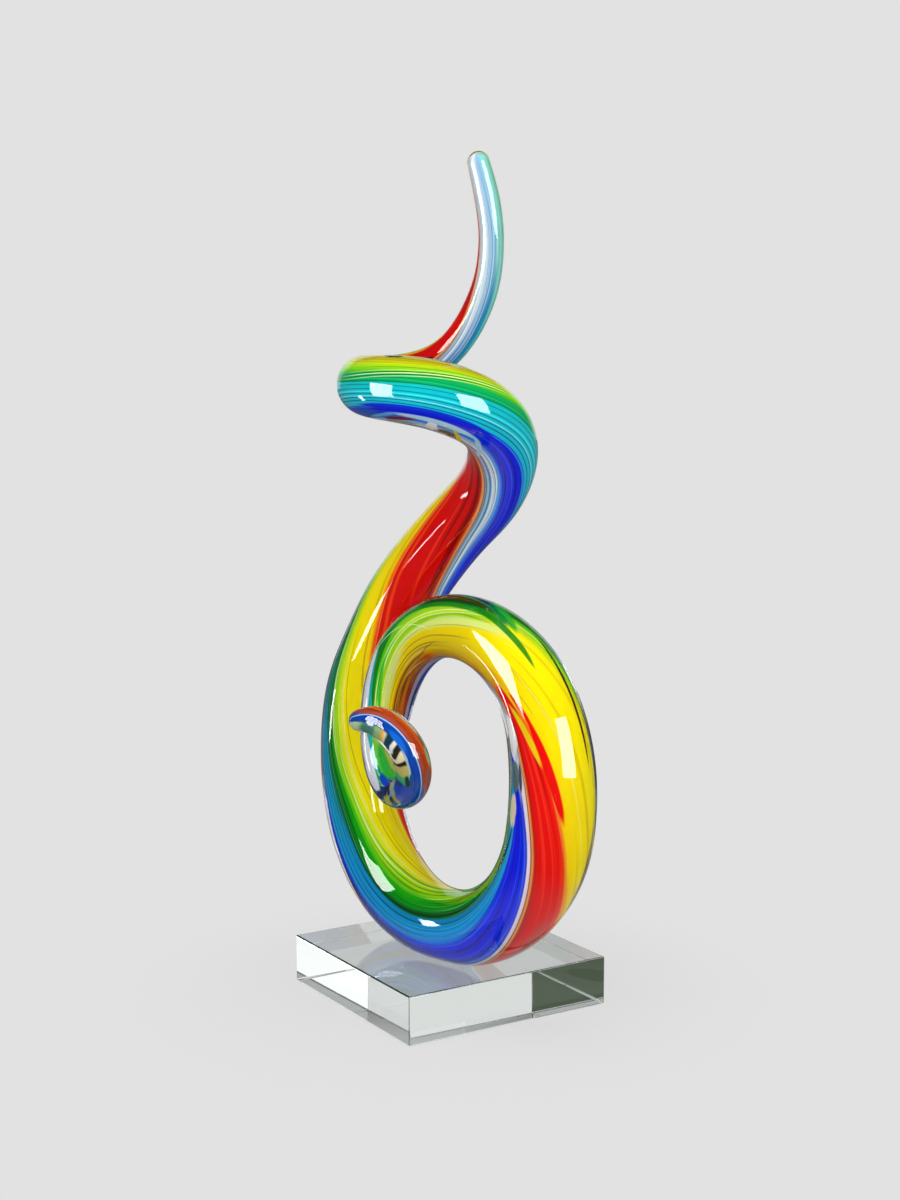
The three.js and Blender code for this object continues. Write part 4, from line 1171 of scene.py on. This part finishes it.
def pale_floor():
    """Takes shadows close to the block and glows evenly like the background further out."""
    mesh = bpy.data.meshes.new("studio_floor")
    corners = [(x * FLOOR_REACH, y * FLOOR_REACH, -FLOOR_DROP) for x, y in ((-1, -1), (1, -1), (1, 1), (-1, 1))]
    mesh.from_pydata(corners, [], [(0, 1, 2, 3)])
    floor = placed("studio_floor", mesh)
    material = bpy.data.materials.new("Studio_floor")
    tree = emptied_tree(material)
    lit = new_node(tree, "ShaderNodeBsdfDiffuse")
    lit.inputs["Color"].default_value = grey(FLOOR_TONE)
    away = new_node(tree, "ShaderNodeVectorMath", operation="LENGTH")
    put(tree, new_node(tree, "ShaderNodeTexCoord").outputs["Object"], away.inputs[0])
    shine = remap(tree, away.outputs["Value"], *SHINE_CHANGES, NEAR_SHINE, FLOOR_SHINE,
                  label="Brighter in gloss near the block")
    gloss = new_node(tree, "ShaderNodeLightPath").outputs["Is Glossy Ray"]
    even = new_node(tree, "ShaderNodeEmission")
    put(tree, blend_colour(tree, gloss, grey(PALE), shine), even.inputs["Color"])
    even.inputs["Strength"].default_value = 1
    both = new_node(tree, "ShaderNodeMixShader")
    put(tree, remap(tree, away.outputs["Value"], *GLOW_CHANGES, NEAR_GLOW), both.inputs[0])
    put(tree, lit.outputs[0], both.inputs[1])
    put(tree, even.outputs[0], both.inputs[2])
    output = new_node(tree, "ShaderNodeOutputMaterial")
    put(tree, both.outputs[0], output.inputs["Surface"])
    mesh.materials.append(material)


def ring_part(tree, level, heading, half, fade):
    """1 in the directions within half degrees of a compass heading."""
    facing = new_node(tree, "ShaderNodeVectorMath", operation="DOT_PRODUCT")
    put(tree, level, facing.inputs[0])
    facing.inputs[1].default_value = (math.cos(math.radians(heading)), math.sin(math.radians(heading)), 0)
    return remap(tree, facing.outputs["Value"], math.cos(math.radians(half + fade)),
                 math.cos(math.radians(half - fade)))


def pale_world():
    """Pale where the camera looks and where glass is looked through, apart from a black card
    above and beside the object. Gloss shows the pale backdrop and the dimmer room round it."""
    world = bpy.data.worlds.new("Studio")
    bpy.context.scene.world = world
    tree = emptied_tree(world)
    direction = new_node(tree, "ShaderNodeTexCoord").outputs["Generated"]
    height = parts_of(tree, direction)[2]
    level = vector_sums(tree, "NORMALIZE", vector_sums(tree, "MULTIPLY", direction, (1, 1, 0)))
    backdrop = sums(tree, "MULTIPLY",
                    ring_part(tree, level, BACKDROP_HEADING, BACKDROP_HALF, BACKDROP_SIDE_FADE),
                    within(tree, height, BACKDROP_LOW, BACKDROP_TOP, BACKDROP_FADE))
    card = sums(tree, "MULTIPLY", ring_part(tree, level, CARD_HEADING, CARD_HALF, CARD_SIDE_FADE),
                within(tree, height, CARD_LOW, CARD_HIGH, CARD_FADE))
    rays = new_node(tree, "ShaderNodeLightPath").outputs
    through = blend_colour(tree, card, grey(PALE), CARD_COLOUR)
    shown = blend_colour(tree, backdrop, grey(ROOM), grey(PALE))
    seen_colour = blend_colour(tree, rays["Is Transmission Ray"], shown, through)
    seen_colour = blend_colour(tree, rays["Is Camera Ray"], seen_colour, grey(PALE))
    seen = new_node(tree, "ShaderNodeBackground")
    put(tree, seen_colour, seen.inputs["Color"])
    lighting = new_node(tree, "ShaderNodeBackground")
    lighting.inputs["Color"].default_value = grey(ROOM_LIGHT)
    direct = sums(tree, "MAXIMUM", rays["Is Camera Ray"], rays["Is Glossy Ray"])
    direct = sums(tree, "MAXIMUM", direct, rays["Is Transmission Ray"])
    both = new_node(tree, "ShaderNodeMixShader")
    put(tree, direct, both.inputs[0])
    put(tree, lighting.outputs[0], both.inputs[1])
    put(tree, seen.outputs[0], both.inputs[2])
    output = new_node(tree, "ShaderNodeOutputWorld")
    put(tree, both.outputs[0], output.inputs["Surface"])


CAMERA_PLACE = Vector((-0.3985, -0.6341, 0.2585))
CAMERA_TURN = -32.22
CAMERA_PITCH = -7.69
FOCAL = 58.5

pale_floor()
pale_world()

camera_data = bpy.data.cameras.new("Camera")
camera_data.sensor_width = 36
camera_data.lens = FOCAL
camera_data.clip_start = 0.01
camera = bpy.data.objects.new("Camera", camera_data)
camera.location = CAMERA_PLACE
camera.rotation_euler = (math.radians(90 + CAMERA_PITCH), 0, math.radians(CAMERA_TURN))
bpy.context.scene.collection.objects.link(camera)
bpy.context.scene.camera = camera

# Soft boxes: degrees to the right of the camera as seen from the object, height angle,
# distance, side lengths, watts of the light that falls on the object, watts that its gloss shows
SOFT_BOXES = {
    "left_softbox": (-65, 2, 0.9, 0.46, 0.5, 4.6, 0),
    "left_window": (-65, 13, 0.32, 0.155, 0.168, 0, 1.25),
    "right_softbox": (43, 4, 0.9, 0.54, 0.6, 5.2, 14.0),
    "side_softbox": (71, 4, 0.9, 0.34, 0.6, 0.3, 0),
    "front_softbox": (-12, 28, 0.9, 0.5, 0.5, 2.2, 0),
    "low_softbox": (-104, -12, 0.5, 0.05, 0.09, 0, 0.2),
    "top_softbox": (-10, 75, 0.9, 0.6, 0.6, 4.0, 0),
}
TARGET = Vector((-0.01, -0.02, 0.16))
SHINE_GAP = 0.02
camera_heading = math.degrees(math.atan2(CAMERA_PLACE.y, CAMERA_PLACE.x))


def soft_box(name, right, up, far, width, height, watts):
    data = bpy.data.lights.new(name, "AREA")
    data.shape = "RECTANGLE"
    data.size = width
    data.size_y = height
    data.energy = watts
    lamp = placed(name, data)
    heading = math.radians(camera_heading + right)
    rise = math.radians(up)
    away = Vector((math.cos(heading) * math.cos(rise), math.sin(heading) * math.cos(rise), math.sin(rise)))
    lamp.location = TARGET + away * far
    lamp.rotation_euler = away.to_track_quat("Z", "Y").to_euler()
    lamp.visible_camera = False
    return lamp


for name, (right, up, far, width, height, watts, shine) in SOFT_BOXES.items():
    if watts:
        light = soft_box(name, right, up, far, width, height, watts)
        light.visible_glossy = False
    if shine:
        glint = soft_box(name + "_shine", right, up, far - SHINE_GAP, width, height, shine)
        glint.visible_diffuse = False
        glint.visible_transmission = False

scene_settings = bpy.context.scene
scene_settings.view_settings.view_transform = "Standard"
